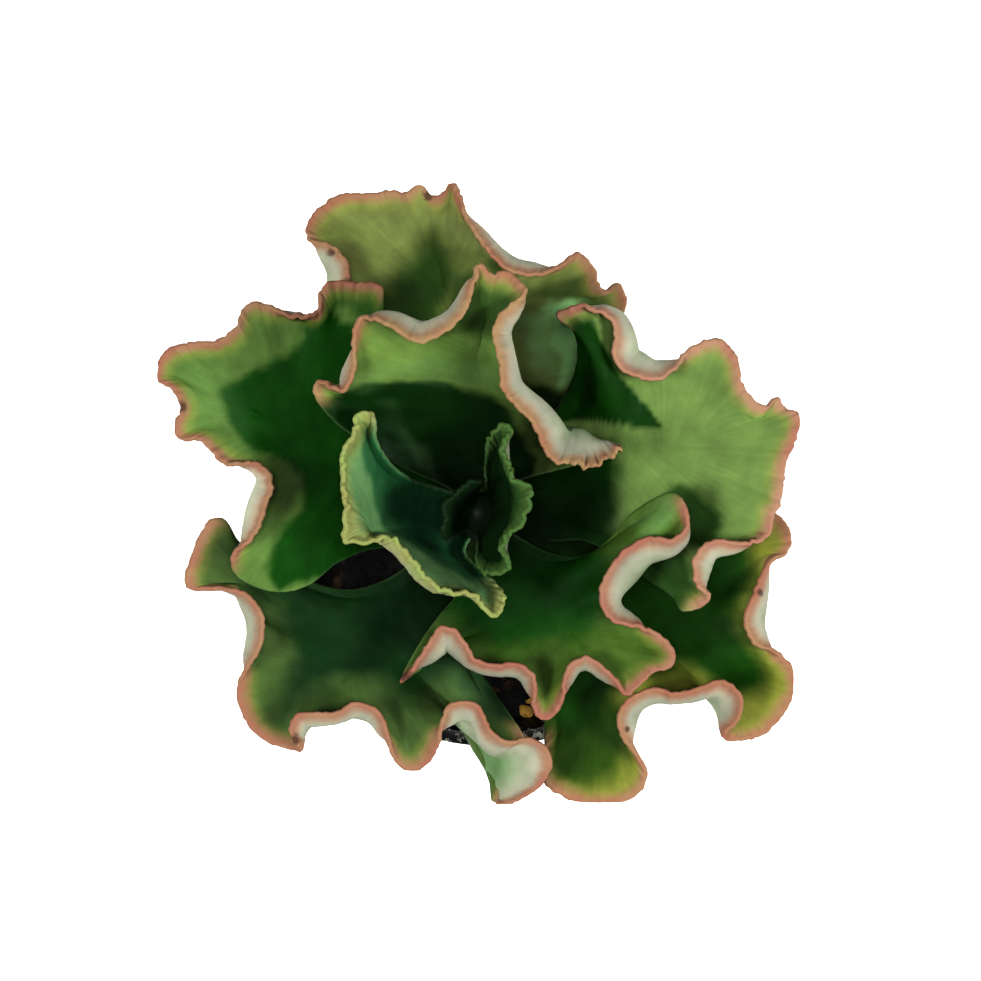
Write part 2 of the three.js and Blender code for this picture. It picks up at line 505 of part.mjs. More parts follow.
// One ray of a blade: from the midrib, across the blade, round the roll, to the edge.
function rayCurve(leaf, from, edge) {
  const ray = edge.point.clone().sub(from).setZ(0).normalize();
  ray.addScaledVector(edge.outward, SQUARE_SHARE).normalize();
  const reach = Math.min(1, edge.point.distanceTo(from) / FULL_REACH);
  const rolled = THREE.MathUtils.smoothstep(edge.roll, 0, FULLY_ROLLED);
  const slope = THREE.MathUtils.degToRad(leaf.slope);
  const underEdge = ({ back, outShare, inset, drop, dropShare }) => {
    const rollDrop = drop + dropShare * Math.min(edge.roll, DEEPEST_ROLL);
    const point = edge.point.clone();
    point.addScaledVector(ray, -back * Math.cos(slope) * reach * (1 - rolled));
    point.addScaledVector(edge.outward, (outShare * edge.roll - inset) * reach * rolled);
    point.z -= reach * THREE.MathUtils.lerp(back * Math.sin(slope), rollDrop, rolled);
    return point;
  };
  const foot = underEdge(FOOT);
  const ahead = facing(leaf.heading);
  const aside = facing(leaf.heading + 90);
  const span = foot.clone().sub(from);
  const middle = from.clone();
  middle.addScaledVector(ahead, MIDDLE.ahead * span.dot(ahead));
  middle.addScaledVector(aside, MIDDLE.aside * span.dot(aside));
  middle.z += MIDDLE.up * span.z;
  const knots = [from, middle, foot, underEdge(SHOULDER), edge.point];
  return new THREE.CatmullRomCurve3(knots, false, 'centripetal');
}

// Evens out the shoulder of the roll and the steps beside it, each along the margin.
function evenShoulders(surface, count, indexOf) {
  for (let pass = 0; pass < EVEN_PASSES; pass += 1) {
    EVEN_SHARES.forEach((share, place) => {
      const step = SHOULDER_AT - 2 + place;
      const row = [];
      for (let ray = 0; ray < count; ray += 1) row.push(surface[indexOf(ray, step)].clone());
      for (let ray = 1; ray < count - 1; ray += 1) {
        const mean = row[ray - 1].clone().lerp(row[ray + 1], 0.5);
        surface[indexOf(ray, step)].lerp(mean, share);
      }
    });
  }
}

// Draws the blade taut between its midrib and the rolls of its margin, which stay where they are.
function drawTaut(surface, count, indexOf) {
  const neighbours = [[0, -1], [0, 1], [-1, 0], [1, 0]];
  for (let pass = 0; pass < TAUT_PASSES; pass += 1) {
    for (let ray = 1; ray < count - 1; ray += 1) {
      for (let step = 1; step < SHOULDER_AT; step += 1) {
        const point = surface[indexOf(ray, step)];
        const mean = new THREE.Vector3();
        for (const [across, out] of neighbours) {
          mean.addScaledVector(surface[indexOf(ray + across, step + out)], 1 / neighbours.length);
        }
        if (step >= SHOULDER_AT - HEIGHT_KEPT_STEPS) mean.setZ(point.z);
        point.lerp(mean, TAUT_SHARE);
      }
    }
  }
}

// The middle surface of a blade. Its rays leave the midrib on both sides like veins and end spread
// along the margin. The two rays that start at the same point of the midrib share that point.
function bladeSurface(leaf) {
  const margin = marginOf(leaf);
  const { tipShare } = margin(0);
  const count = 2 * leaf.rays + 1;
  const outSteps = RAY_STEPS.length - 1;
  const thickShare = leaf.slope > STEEP_SLOPE ? HEART_THICK_SHARE : 1;
  const indexOf = (ray, step) => (step === 0
    ? Math.min(ray, 2 * leaf.rays - ray)
    : leaf.rays + 1 + ray * outSteps + step - 1);
  const surface = [];
  const thickness = [];
  for (let ray = 0; ray < count; ray += 1) {
    const outShare = 1 - Math.abs(ray - leaf.rays) / leaf.rays;
    const share = ray <= leaf.rays
      ? tipShare * outShare ** leaf.crowd[0]
      : 1 - (1 - tipShare) * outShare ** leaf.crowd[1];
    const ribThick = thickShare * THREE.MathUtils.lerp(NECK_THICK, RIB_END_THICK, outShare);
    const curve = rayCurve(leaf, midribPoint(leaf.midrib, outShare ** RIB_PACE), margin(share));
    RAY_STEPS.forEach((t, step) => {
      surface[indexOf(ray, step)] = curve.getPoint(t);
      thickness[indexOf(ray, step)] = THREE.MathUtils.lerp(ribThick, EDGE_THICK, t ** THINNING);
    });
  }
  if ([...leaf.left, ...leaf.right].some(([, , , roll]) => roll > 0)) {
    evenShoulders(surface, count, indexOf);
  }
  drawTaut(surface, count, indexOf);
  return { surface, thickness, count, indexOf };
}

// The direction square to the surface at each of its points, softened over the points around it.
function softNormals(surface, faces) {
  const normals = surface.map(() => new THREE.Vector3());
  for (const [a, b, c] of faces) {
    const normal = surface[b].clone().sub(surface[a]).cross(surface[c].clone().sub(surface[a]));
    for (const index of [a, b, c]) normals[index].add(normal);
  }
  normals.forEach((normal) => normal.normalize());
  for (let pass = 0; pass < NORMAL_PASSES; pass += 1) {
    const sums = normals.map((normal) => normal.clone());
    for (const face of faces) {
      for (const index of face) {
        for (const other of face) sums[index].addScaledVector(normals[other], NORMAL_SHARE);
      }
    }
    sums.forEach((sum, index) => normals[index].copy(sum.normalize()));
  }
  return normals;
}

// A leaf is a waved blade of even wall. Both faces are divided into the same triangles, and a strip
// round the edge joins them.
function leafSolid(leaf) {
  const { surface, thickness, count, indexOf } = bladeSurface(leaf);
  const outmost = RAY_STEPS.length - 1;
  const faces = [];
  for (let ray = 0; ray < count - 1; ray += 1) {
    for (let step = 0; step < outmost; step += 1) {
      const a = indexOf(ray, step);
      const b = indexOf(ray, step + 1);
      const c = indexOf(ray + 1, step + 1);
      const d = indexOf(ray + 1, step);
      faces.push([a, c, b], [a, d, c]);
    }
  }
  const normals = softNormals(surface, faces);
  const positions = [];
  for (const half of [0.5, -0.5]) {
    surface.forEach((point, index) => {
      const offset = normals[index].clone().multiplyScalar(half * thickness[index]);
      positions.push(...point.clone().add(offset).toArray());
    });
  }
  const rim = [];
  for (let step = outmost; step > 0; step -= 1) rim.push(indexOf(count - 1, step));
  for (let step = 0; step <= outmost; step += 1) rim.push(indexOf(0, step));
  for (let ray = 1; ray < count - 1; ray += 1) rim.push(indexOf(ray, outmost));
  const under = surface.length;
  const triangles = [];
  for (const [a, b, c] of faces) triangles.push(a, b, c, under + a, under + c, under + b);
  rim.forEach((a, place) => {
    const b = rim[(place + 1) % rim.length];
    triangles.push(a, b, under + b, a, under + b, under + a);
  });
  return solidOf(geometryFrom(positions, triangles));
}

const plant = new THREE.Group();

function addPiece(name, geometry, finish) {
  const mesh = new THREE.Mesh(geometry, finish);
  mesh.name = name;
  plant.add(mesh);
}

addPiece('pot', potGeometry(), material(COLOURS.pot, ROUGHNESS.pot));
addPiece('soil', soilGeometry(), material(COLOURS.soil, ROUGHNESS.soil));
addPiece('stem', geometryOf(stemSolid(0)), material(COLOURS.stem, ROUGHNESS.stem));

const stemRoom = stemSolid(SEAT_GAP);
for (const leaf of LEAVES) {
  const colour = leaf.slope > STEEP_SLOPE ? COLOURS.youngLeaf : COLOURS.leaf;
  addPiece(leaf.name, geometryOf(leafSolid(leaf).subtract(stemRoom)), material(colour, ROUGHNESS.leaf));
}

export default plant;
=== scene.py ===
# A coral reef echeveria in a round black nursery pot, seen from straight above.
import math

import bpy
import numpy as np
from mathutils import Matrix, Vector, noise


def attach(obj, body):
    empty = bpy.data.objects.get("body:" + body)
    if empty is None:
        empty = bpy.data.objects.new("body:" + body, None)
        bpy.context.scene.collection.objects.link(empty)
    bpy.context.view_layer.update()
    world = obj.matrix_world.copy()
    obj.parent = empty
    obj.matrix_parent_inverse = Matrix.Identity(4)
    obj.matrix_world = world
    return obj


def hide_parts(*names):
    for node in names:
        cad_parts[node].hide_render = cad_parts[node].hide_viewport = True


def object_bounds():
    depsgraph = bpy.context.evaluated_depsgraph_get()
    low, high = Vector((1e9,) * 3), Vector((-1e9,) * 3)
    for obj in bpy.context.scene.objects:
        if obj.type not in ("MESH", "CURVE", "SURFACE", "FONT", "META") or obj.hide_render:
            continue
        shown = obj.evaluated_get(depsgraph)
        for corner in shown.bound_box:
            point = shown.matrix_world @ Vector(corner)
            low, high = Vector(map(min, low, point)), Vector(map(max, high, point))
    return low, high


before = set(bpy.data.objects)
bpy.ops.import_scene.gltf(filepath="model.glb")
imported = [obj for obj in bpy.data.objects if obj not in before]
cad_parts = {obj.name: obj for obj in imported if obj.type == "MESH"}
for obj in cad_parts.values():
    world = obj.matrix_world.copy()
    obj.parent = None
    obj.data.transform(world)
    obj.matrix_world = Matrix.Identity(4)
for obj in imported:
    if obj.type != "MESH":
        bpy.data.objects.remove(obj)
cad_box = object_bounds()
scene = bpy.context.scene
MM = 0.001


# The view. The plant is looked at from straight above, from a little over half a metre, with the
# tall inner leaf leaning to the top of the picture.
EYE_HEIGHT = 535 * MM
EYE_NORTH = 9.1 * MM
FOCAL_SHARE = 1953 / 981
bpy.ops.object.select_all(action="DESELECT")
bpy.ops.object.camera_add(location=(0, EYE_NORTH, EYE_HEIGHT), rotation=(0, 0, 0))
camera = bpy.context.object
camera.name = "camera"
camera.data.sensor_width = 36
camera.data.lens = 36 * FOCAL_SHARE
camera.data.clip_start = 0.01
scene.camera = camera


# The pot is one thin moulded shell of black polypropylene: a tapered wall, a thicker rim band to
# lift it by, and a floor with a ring of drain holes. Its outside is satin from the mould, with fine
# rings that the tool left, and a little dusty.
POT_HEIGHT = 85
RIM_RADIUS = 50
BASE_RADIUS = 36
POT_WALL = 1.6
RIM_DEPTH = 10
RIM_STEP = 1.8
DRAIN_HOLES = 8
DRAIN_HOLE_RADIUS = 4.5
DRAIN_CIRCLE_RADIUS = 25


def linear(hex_colour):
    """The linear colour of an sRGB hex value, with full opacity."""
    parts = [int(hex_colour[i:i + 2], 16) / 255 for i in (1, 3, 5)]
    return tuple([p / 12.92 if p <= 0.04045 else ((p + 0.055) / 1.055) ** 2.4 for p in parts] + [1.0])


def add(tree, kind, links=None, **settings):
    """Adds a node with its settings. links maps a socket to a value, or to the socket it comes from."""
    node = tree.nodes.new(kind)
    for name, value in settings.items():
        setattr(node, name, value)
    for socket, value in (links or {}).items():
        if isinstance(value, bpy.types.NodeSocket):
            tree.links.new(value, node.inputs[socket])
        else:
            node.inputs[socket].default_value = value
    return node


def new_material(name):
    """An empty material with a shader joined to its output."""
    material = bpy.data.materials.new(name)
    material.use_nodes = True
    tree = material.node_tree
    tree.nodes.clear()
    shader = add(tree, "ShaderNodeBsdfPrincipled")
    add(tree, "ShaderNodeOutputMaterial", {"Surface": shader.outputs["BSDF"]})
    return material, tree, shader


def wall_radius(z):
    """The outside radius of the pot's wall at a height."""
    return BASE_RADIUS + (RIM_RADIUS - RIM_STEP - BASE_RADIUS) * z / POT_HEIGHT


def finish_piece(piece, replaced):
    """Puts a piece's place into its mesh, rests it on the one body and hides the CAD part it replaces."""
    bpy.ops.object.select_all(action="DESELECT")
    piece.select_set(True)
    bpy.context.view_layer.objects.active = piece
    bpy.ops.object.transform_apply(location=True, rotation=True, scale=True)
    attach(piece, "root")
    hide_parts(replaced)


def raise_profile(profile):
    """Draws the selected disc up and down a wall: each step is [radius, height]."""
    radius, height = profile[0]
    for next_radius, next_height in profile[1:]:
        bpy.ops.mesh.extrude_region_move(
            TRANSFORM_OT_translate={"value": (0, 0, (next_height - height) * MM)})
        share = next_radius / radius
        bpy.ops.transform.resize(value=(share, share, 1), center_override=(0, 0, next_height * MM))
        radius, height = next_radius, next_height


band = POT_HEIGHT - RIM_DEPTH
bpy.ops.object.select_all(action="DESELECT")
bpy.ops.mesh.primitive_circle_add(vertices=144, radius=(BASE_RADIUS - 1.5) * MM, fill_type="NGON")
pot = bpy.context.object
pot.name = "nursery_pot"
bpy.ops.object.mode_set(mode="EDIT")
bpy.ops.mesh.select_all(action="SELECT")
raise_profile([
    (BASE_RADIUS - 1.5, 0), (BASE_RADIUS - 0.5, 0.4), (BASE_RADIUS, 1.5), (wall_radius(12), 12),
    (wall_radius(30), 30), (wall_radius(55), 55), (wall_radius(band), band),
    (RIM_RADIUS - 0.4, band + 0.6), (RIM_RADIUS - 0.05, band + 1.4), (RIM_RADIUS, POT_HEIGHT - 1.2),
    (RIM_RADIUS - 0.25, POT_HEIGHT - 0.4), (RIM_RADIUS - 0.9, POT_HEIGHT),
    (wall_radius(POT_HEIGHT) - POT_WALL + 0.3, POT_HEIGHT),
    (wall_radius(POT_HEIGHT) - POT_WALL, POT_HEIGHT - 0.5),
    (wall_radius(55) - POT_WALL, 55), (wall_radius(POT_WALL) - POT_WALL, POT_WALL + 1),
    (wall_radius(POT_WALL) - POT_WALL - 1, POT_WALL),
])
bpy.ops.mesh.select_all(action="SELECT")
bpy.ops.mesh.normals_make_consistent(inside=False)
bpy.ops.object.mode_set(mode="OBJECT")
for number in range(DRAIN_HOLES):
    turn = (number + 0.5) * 2 * math.pi / DRAIN_HOLES
    bpy.ops.object.select_all(action="DESELECT")
    bpy.ops.mesh.primitive_cylinder_add(
        vertices=40, radius=DRAIN_HOLE_RADIUS * MM, depth=5 * POT_WALL * MM,
        location=(DRAIN_CIRCLE_RADIUS * MM * math.cos(turn), DRAIN_CIRCLE_RADIUS * MM * math.sin(turn),
                  POT_WALL * MM))
    punch = bpy.context.object
    cut = pot.modifiers.new("drain hole", "BOOLEAN")
    cut.operation = "DIFFERENCE"
    cut.object = punch
    bpy.context.view_layer.objects.active = pot
    bpy.ops.object.modifier_apply(modifier=cut.name)
    bpy.data.objects.remove(punch)
pot.select_set(True)
bpy.ops.object.shade_smooth_by_angle(angle=math.radians(35))

# Moulded polypropylene. The mould leaves faint rings, and handling leaves a grey bloom of dust and soil
# that is strongest near the foot. Hard water dried to chalk specks on the rim. Just over three
# rings take up 12 mm of height, a metre holds 90 patches of dust, and a speck is 1.3 mm across.
THREE_RINGS = 12
DUST_PATCHES = 90
CHALK_SPECK = 1.3
black_plastic, tree, shader = new_material("moulded_polypropylene")
place = add(tree, "ShaderNodeTexCoord").outputs["Object"]
rings = add(tree, "ShaderNodeTexWave", {"Vector": place, "Scale": 1 / (THREE_RINGS * MM),
                                        "Distortion": 0.4, "Detail": 1.0}, bands_direction="Z")
dust = add(tree, "ShaderNodeTexNoise", {"Vector": place, "Scale": DUST_PATCHES, "Detail": 8.0,
                                        "Roughness": 0.62})
height = add(tree, "ShaderNodeSeparateXYZ", {0: place}).outputs["Z"]
foot = add(tree, "ShaderNodeMapRange", {"Value": height, "From Min": 0.0, "From Max": 25 * MM,
                                        "To Min": 0.35, "To Max": 0.0}).outputs[0]
dusty = add(tree, "ShaderNodeMath", {0: dust.outputs[0], 1: foot}, operation="ADD").outputs[0]
dust_share = add(tree, "ShaderNodeMapRange", {"Value": dusty, "From Min": 0.52, "From Max": 0.95,
                                              "To Max": 0.55}).outputs[0]
skin = add(tree, "ShaderNodeMix", {"Factor": dust_share, "A": linear("#141516"), "B": linear("#4a4540")},
           data_type="RGBA")
specks = add(tree, "ShaderNodeTexNoise", {"Vector": place, "Scale": 1 / (CHALK_SPECK * MM),
                                          "Detail": 4.0}).outputs[0]
near_rim = add(tree, "ShaderNodeMapRange", {"Value": height, "From Min": 78 * MM, "From Max": 84.6 * MM,
                                            "To Min": 0.0, "To Max": 0.14}).outputs[0]
specks = add(tree, "ShaderNodeMath", {0: specks, 1: near_rim}, operation="ADD").outputs[0]
chalk = add(tree, "ShaderNodeMapRange", {"Value": specks, "From Min": 0.7, "From Max": 0.76}).outputs[0]
skin = add(tree, "ShaderNodeMix", {"Factor": chalk, "A": skin.outputs["Result"], "B": linear("#b9bab2")},
           data_type="RGBA")
tree.links.new(skin.outputs["Result"], shader.inputs["Base Color"])
gloss = add(tree, "ShaderNodeMapRange", {"Value": dusty, "From Min": 0.3, "From Max": 0.9, "To Min": 0.32,
                                         "To Max": 0.62}).outputs[0]
tree.links.new(gloss, shader.inputs["Roughness"])
relief = add(tree, "ShaderNodeBump", {"Height": rings.outputs["Fac"], "Strength": 0.12,
                                      "Distance": 0.05 * MM})
tree.links.new(relief.outputs[0], shader.inputs["Normal"])
pot.data.materials.append(black_plastic)
finish_piece(pot, "pot")


# The soil is one fill of dark peat and bark fines, pressed in by hand to just under the rim. Its top
# is lumpy, with loose crumbs, bits of brown bark and a few golden grains of grit on it.
SOIL_TOP = 76
SOIL_RADIUS = wall_radius(SOIL_TOP) - POT_WALL - 0.5
SOIL_FLOOR = 2.1
SOIL_FLOOR_RADIUS = wall_radius(3) - POT_WALL - 0.6
SOIL_EDGE = SOIL_TOP - 1.6
SOIL_RINGS = 44
SWELL_GAP = 22
SOIL_SWELL = 1.3
LUMP_GAP = 5
SOIL_LUMP = 1.1
STEM_X = -3
STEM_Y = 4
CLEAR_OF_STEM = 8

# The grains that the gaps between the leaves show: x, y, radius and kind. The other crumbs are strewn.
GRAINS = [
    (8.4, -42.9, 1.6, "grit"), (4.4, -36.6, 1.5, "bark"), (2.6, -33.8, 1.3, "bark"),
    (9, -40, 0.9, "grit"), (-36, -12.5, 1.6, "bark"), (-34.4, -11, 1.0, "bark"),
]


def soil_height(x, y):
    """The height of the soil's top, in millimetres: broad swells, then lumps."""
    swell = noise.noise(Vector((x / SWELL_GAP, y / SWELL_GAP, 3.1)))
    lump = noise.fractal(Vector((x / LUMP_GAP, y / LUMP_GAP, 7.7)), 1.0, 2.1, 4)
    return SOIL_TOP + SOIL_SWELL * swell + SOIL_LUMP * lump


bpy.ops.object.select_all(action="DESELECT")
bpy.ops.mesh.primitive_circle_add(vertices=120, radius=SOIL_FLOOR_RADIUS * MM, fill_type="NGON",
                                  location=(0, 0, SOIL_FLOOR * MM))
soil = bpy.context.object
soil.name = "potting_mix"
bpy.ops.object.transform_apply(location=True)
bpy.ops.object.mode_set(mode="EDIT")
bpy.ops.mesh.select_all(action="SELECT")
rings = [(SOIL_RADIUS * (1 - step / SOIL_RINGS), SOIL_TOP) for step in range(SOIL_RINGS)]
raise_profile([(SOIL_FLOOR_RADIUS, SOIL_FLOOR), (SOIL_RADIUS, SOIL_EDGE)] + rings)
bpy.ops.mesh.select_all(action="SELECT")
bpy.ops.mesh.normals_make_consistent(inside=False)
bpy.ops.object.mode_set(mode="OBJECT")
for vertex in soil.data.vertices:
    x, y, z = vertex.co / MM
    if z > SOIL_TOP - 0.5:
        inner = min(1.0, (SOIL_RADIUS - math.hypot(x, y)) / 3)
        vertex.co.z = (SOIL_TOP - 1 + (soil_height(x, y) - SOIL_TOP + 1) * inner) * MM
bpy.ops.object.shade_smooth()

# One crumb is a dented lump. It is copied, each time turned and sized anew. Bark lies flatter.
CRUMB_COUNT = 900
CRUMB_SMALLEST = 0.5
CRUMB_SPREAD = 1.1
CRUMB_DENT = 0.34
CRUMB_SHAPE = (1.25, 0.9)
CRUMB_FLATNESS = {"peat": 0.86, "bark": 0.62, "grit": 0.86}
BARK_SHARE = 0.07
SOIL_KINDS = {"peat": 0.0, "bark": 0.5, "grit": 1.0}
bpy.ops.object.select_all(action="DESELECT")
bpy.ops.mesh.primitive_ico_sphere_add(subdivisions=2, radius=1 * MM)
crumb = bpy.context.object
for vertex in crumb.data.vertices:
    vertex.co *= 1 + CRUMB_DENT * noise.noise(vertex.co / MM * 1.3 + Vector((5, 2, 1)))
random = np.random.default_rng(27)
crumbs = []
for number in range(CRUMB_COUNT):
    radius = CRUMB_SMALLEST + CRUMB_SPREAD * random.random() ** 3
    turn = 2 * math.pi * random.random()
    out = (SOIL_RADIUS - 1.4 * radius) * math.sqrt(random.random())
    kind = "bark" if random.random() < BARK_SHARE else "peat"
    crumbs.append((out * math.cos(turn), out * math.sin(turn), radius, kind))
pieces = [soil]
for x, y, radius, kind in GRAINS + crumbs:
    if math.hypot(x - STEM_X, y - STEM_Y) < CLEAR_OF_STEM + radius:
        continue
    grain = crumb.copy()
    grain.data = crumb.data.copy()
    scene.collection.objects.link(grain)
    grain.location = (x * MM, y * MM, (soil_height(x, y) + 0.15 * radius) * MM)
    grain.scale = [share * radius for share in (*CRUMB_SHAPE, CRUMB_FLATNESS[kind])]
    grain.rotation_euler = (0.5 * random.random(), 0.5 * random.random(), 6.3 * random.random())
    grain.data.attributes.new("kind", "FLOAT", "POINT").data.foreach_set(
        "value", np.full(len(grain.data.vertices), SOIL_KINDS[kind]))
    pieces.append(grain)
soil.data.attributes.new("kind", "FLOAT", "POINT")
bpy.data.objects.remove(crumb)
for piece in pieces:
    piece.select_set(True)
bpy.context.view_layer.objects.active = soil
bpy.ops.object.join()

# Moist peat and bark fines. Wet crumbs are nearly black, darker than wet peat is, as painted shade for the
# gaps between the leaves; bark bits are red-brown and grit is golden.
# Sizes in millimetres: the mottle of their colour, and the grit of their surface.
MOTTLE = 4
FINE_GRIT = 0.8
peat, tree, shader = new_material("moist_peat_and_bark")
place = add(tree, "ShaderNodeTexCoord").outputs["Object"]
kind = add(tree, "ShaderNodeAttribute", attribute_name="kind").outputs["Fac"]
mottle = add(tree, "ShaderNodeTexNoise", {"Vector": place, "Scale": 1 / (MOTTLE * MM),
                                          "Detail": 6.0}).outputs[0]
spread = add(tree, "ShaderNodeMapRange", {"Value": mottle, "From Min": 0.35, "From Max": 0.7}).outputs[0]
dark = add(tree, "ShaderNodeMix", {"Factor": spread, "A": linear("#020202"), "B": linear("#0a0705")},
           data_type="RGBA").outputs["Result"]
bark = add(tree, "ShaderNodeMix", {"Factor": spread, "A": linear("#24160d"), "B": linear("#5a4028")},
           data_type="RGBA").outputs["Result"]
is_bark = add(tree, "ShaderNodeMapRange", {"Value": kind, "From Min": 0.1, "From Max": 0.4}).outputs[0]
is_grit = add(tree, "ShaderNodeMapRange", {"Value": kind, "From Min": 0.6, "From Max": 0.9}).outputs[0]
mixed = add(tree, "ShaderNodeMix", {"Factor": is_bark, "A": dark, "B": bark},
            data_type="RGBA").outputs["Result"]
mixed = add(tree, "ShaderNodeMix", {"Factor": is_grit, "A": mixed, "B": linear("#d0a452")},
            data_type="RGBA").outputs["Result"]
tree.links.new(mixed, shader.inputs["Base Color"])
shader.inputs["Roughness"].default_value = 0.88
grit = add(tree, "ShaderNodeTexNoise", {"Vector": place, "Scale": 1 / (FINE_GRIT * MM),
                                        "Detail": 5.0}).outputs[0]
relief = add(tree, "ShaderNodeBump", {"Height": grit, "Strength": 0.7, "Distance": 0.3 * MM})
tree.links.new(relief.outputs[0], shader.inputs["Normal"])
soil.data.materials.append(peat)
finish_piece(soil, "soil")


# The stem is one short fleshy trunk that all the leaves grow from. It narrows towards the growing
# point, and low down it is ringed by the pale scars of leaves that dropped off.
STEM_LUMP_GAP = 3.2
STEM_DENT = 0.35
STEM_PROFILE = [
    # radius and height
    (4.2, 58), (6.3, 66), (6.9, 74), (7.2, 76.5), (6.9, 77.4), (7.3, 79), (6.9, 80), (7.2, 81.8),
    (6.9, 82.8), (7.0, 88), (6.6, 94), (5.4, 101), (3.4, 104.2), (1.6, 105.6), (0.4, 106),
]
bpy.ops.object.select_all(action="DESELECT")
bpy.ops.mesh.primitive_circle_add(vertices=56, radius=STEM_PROFILE[0][0] * MM, fill_type="NGON",
                                  location=(0, 0, STEM_PROFILE[0][1] * MM))
stem = bpy.context.object
stem.name = "stem"
bpy.ops.object.transform_apply(location=True)
bpy.ops.object.mode_set(mode="EDIT")
bpy.ops.mesh.select_all(action="SELECT")
raise_profile(STEM_PROFILE)
bpy.ops.mesh.select_all(action="SELECT")
bpy.ops.mesh.normals_make_consistent(inside=False)
bpy.ops.object.mode_set(mode="OBJECT")
stem.data.transform(Matrix.Translation((STEM_X * MM, STEM_Y * MM, 0)))
soften = stem.modifiers.new("rounded flesh", "SUBSURF")
soften.levels = soften.render_levels = 2
bpy.ops.object.modifier_apply(modifier=soften.name)
for vertex in stem.data.vertices:
    lump = noise.noise(vertex.co / MM / STEM_LUMP_GAP)
    out = Vector((vertex.co.x - STEM_X * MM, vertex.co.y - STEM_Y * MM, 0))
    if out.length > 0:
        vertex.co += out.normalized() * min(0, STEM_DENT * lump) * MM
bpy.ops.object.shade_smooth()

# Living stem skin. It is grey-green flesh with brown corky scars where leaves were, in patches of
# about 6 mm, and very dark green from 88 to 96 mm up, as painted shade under the newest leaves.
CORKY_PATCH = 6
stem_skin, tree, shader = new_material("stem_skin_with_scars")
place = add(tree, "ShaderNodeTexCoord").outputs["Object"]
patches = add(tree, "ShaderNodeTexNoise", {"Vector": place, "Scale": 1 / (CORKY_PATCH * MM),
                                           "Detail": 6.0}).outputs[0]
corky = add(tree, "ShaderNodeMapRange", {"Value": patches, "From Min": 0.42, "From Max": 0.62}).outputs[0]
skin = add(tree, "ShaderNodeMix", {"Factor": corky, "A": linear("#7f8f55"), "B": linear("#6b5137")},
           data_type="RGBA").outputs["Result"]
height = add(tree, "ShaderNodeSeparateXYZ", {0: place}).outputs["Z"]
dark_top = add(tree, "ShaderNodeMapRange", {"Value": height, "From Min": 88 * MM,
                                         "From Max": 96 * MM}).outputs[0]
skin = add(tree, "ShaderNodeMix", {"Factor": dark_top, "A": skin, "B": linear("#0f2410")},
           data_type="RGBA").outputs["Result"]
tree.links.new(skin, shader.inputs["Base Color"])
shader.inputs["Roughness"].default_value = 0.6
relief = add(tree, "ShaderNodeBump", {"Height": patches, "Strength": 0.4, "Distance": 0.4 * MM})
tree.links.new(relief.outputs[0], shader.inputs["Normal"])
stem.data.materials.append(stem_skin)
finish_piece(stem, "stem")


# The leaves are thick fleshy blades in one loose rosette. Each leaves the stem as a narrow neck and
# widens to a broad blade. Its margin is waved and in places rolled up and over, so that the pale
# underside shows outside the coloured edge line, and the edge itself is finely crinkled.

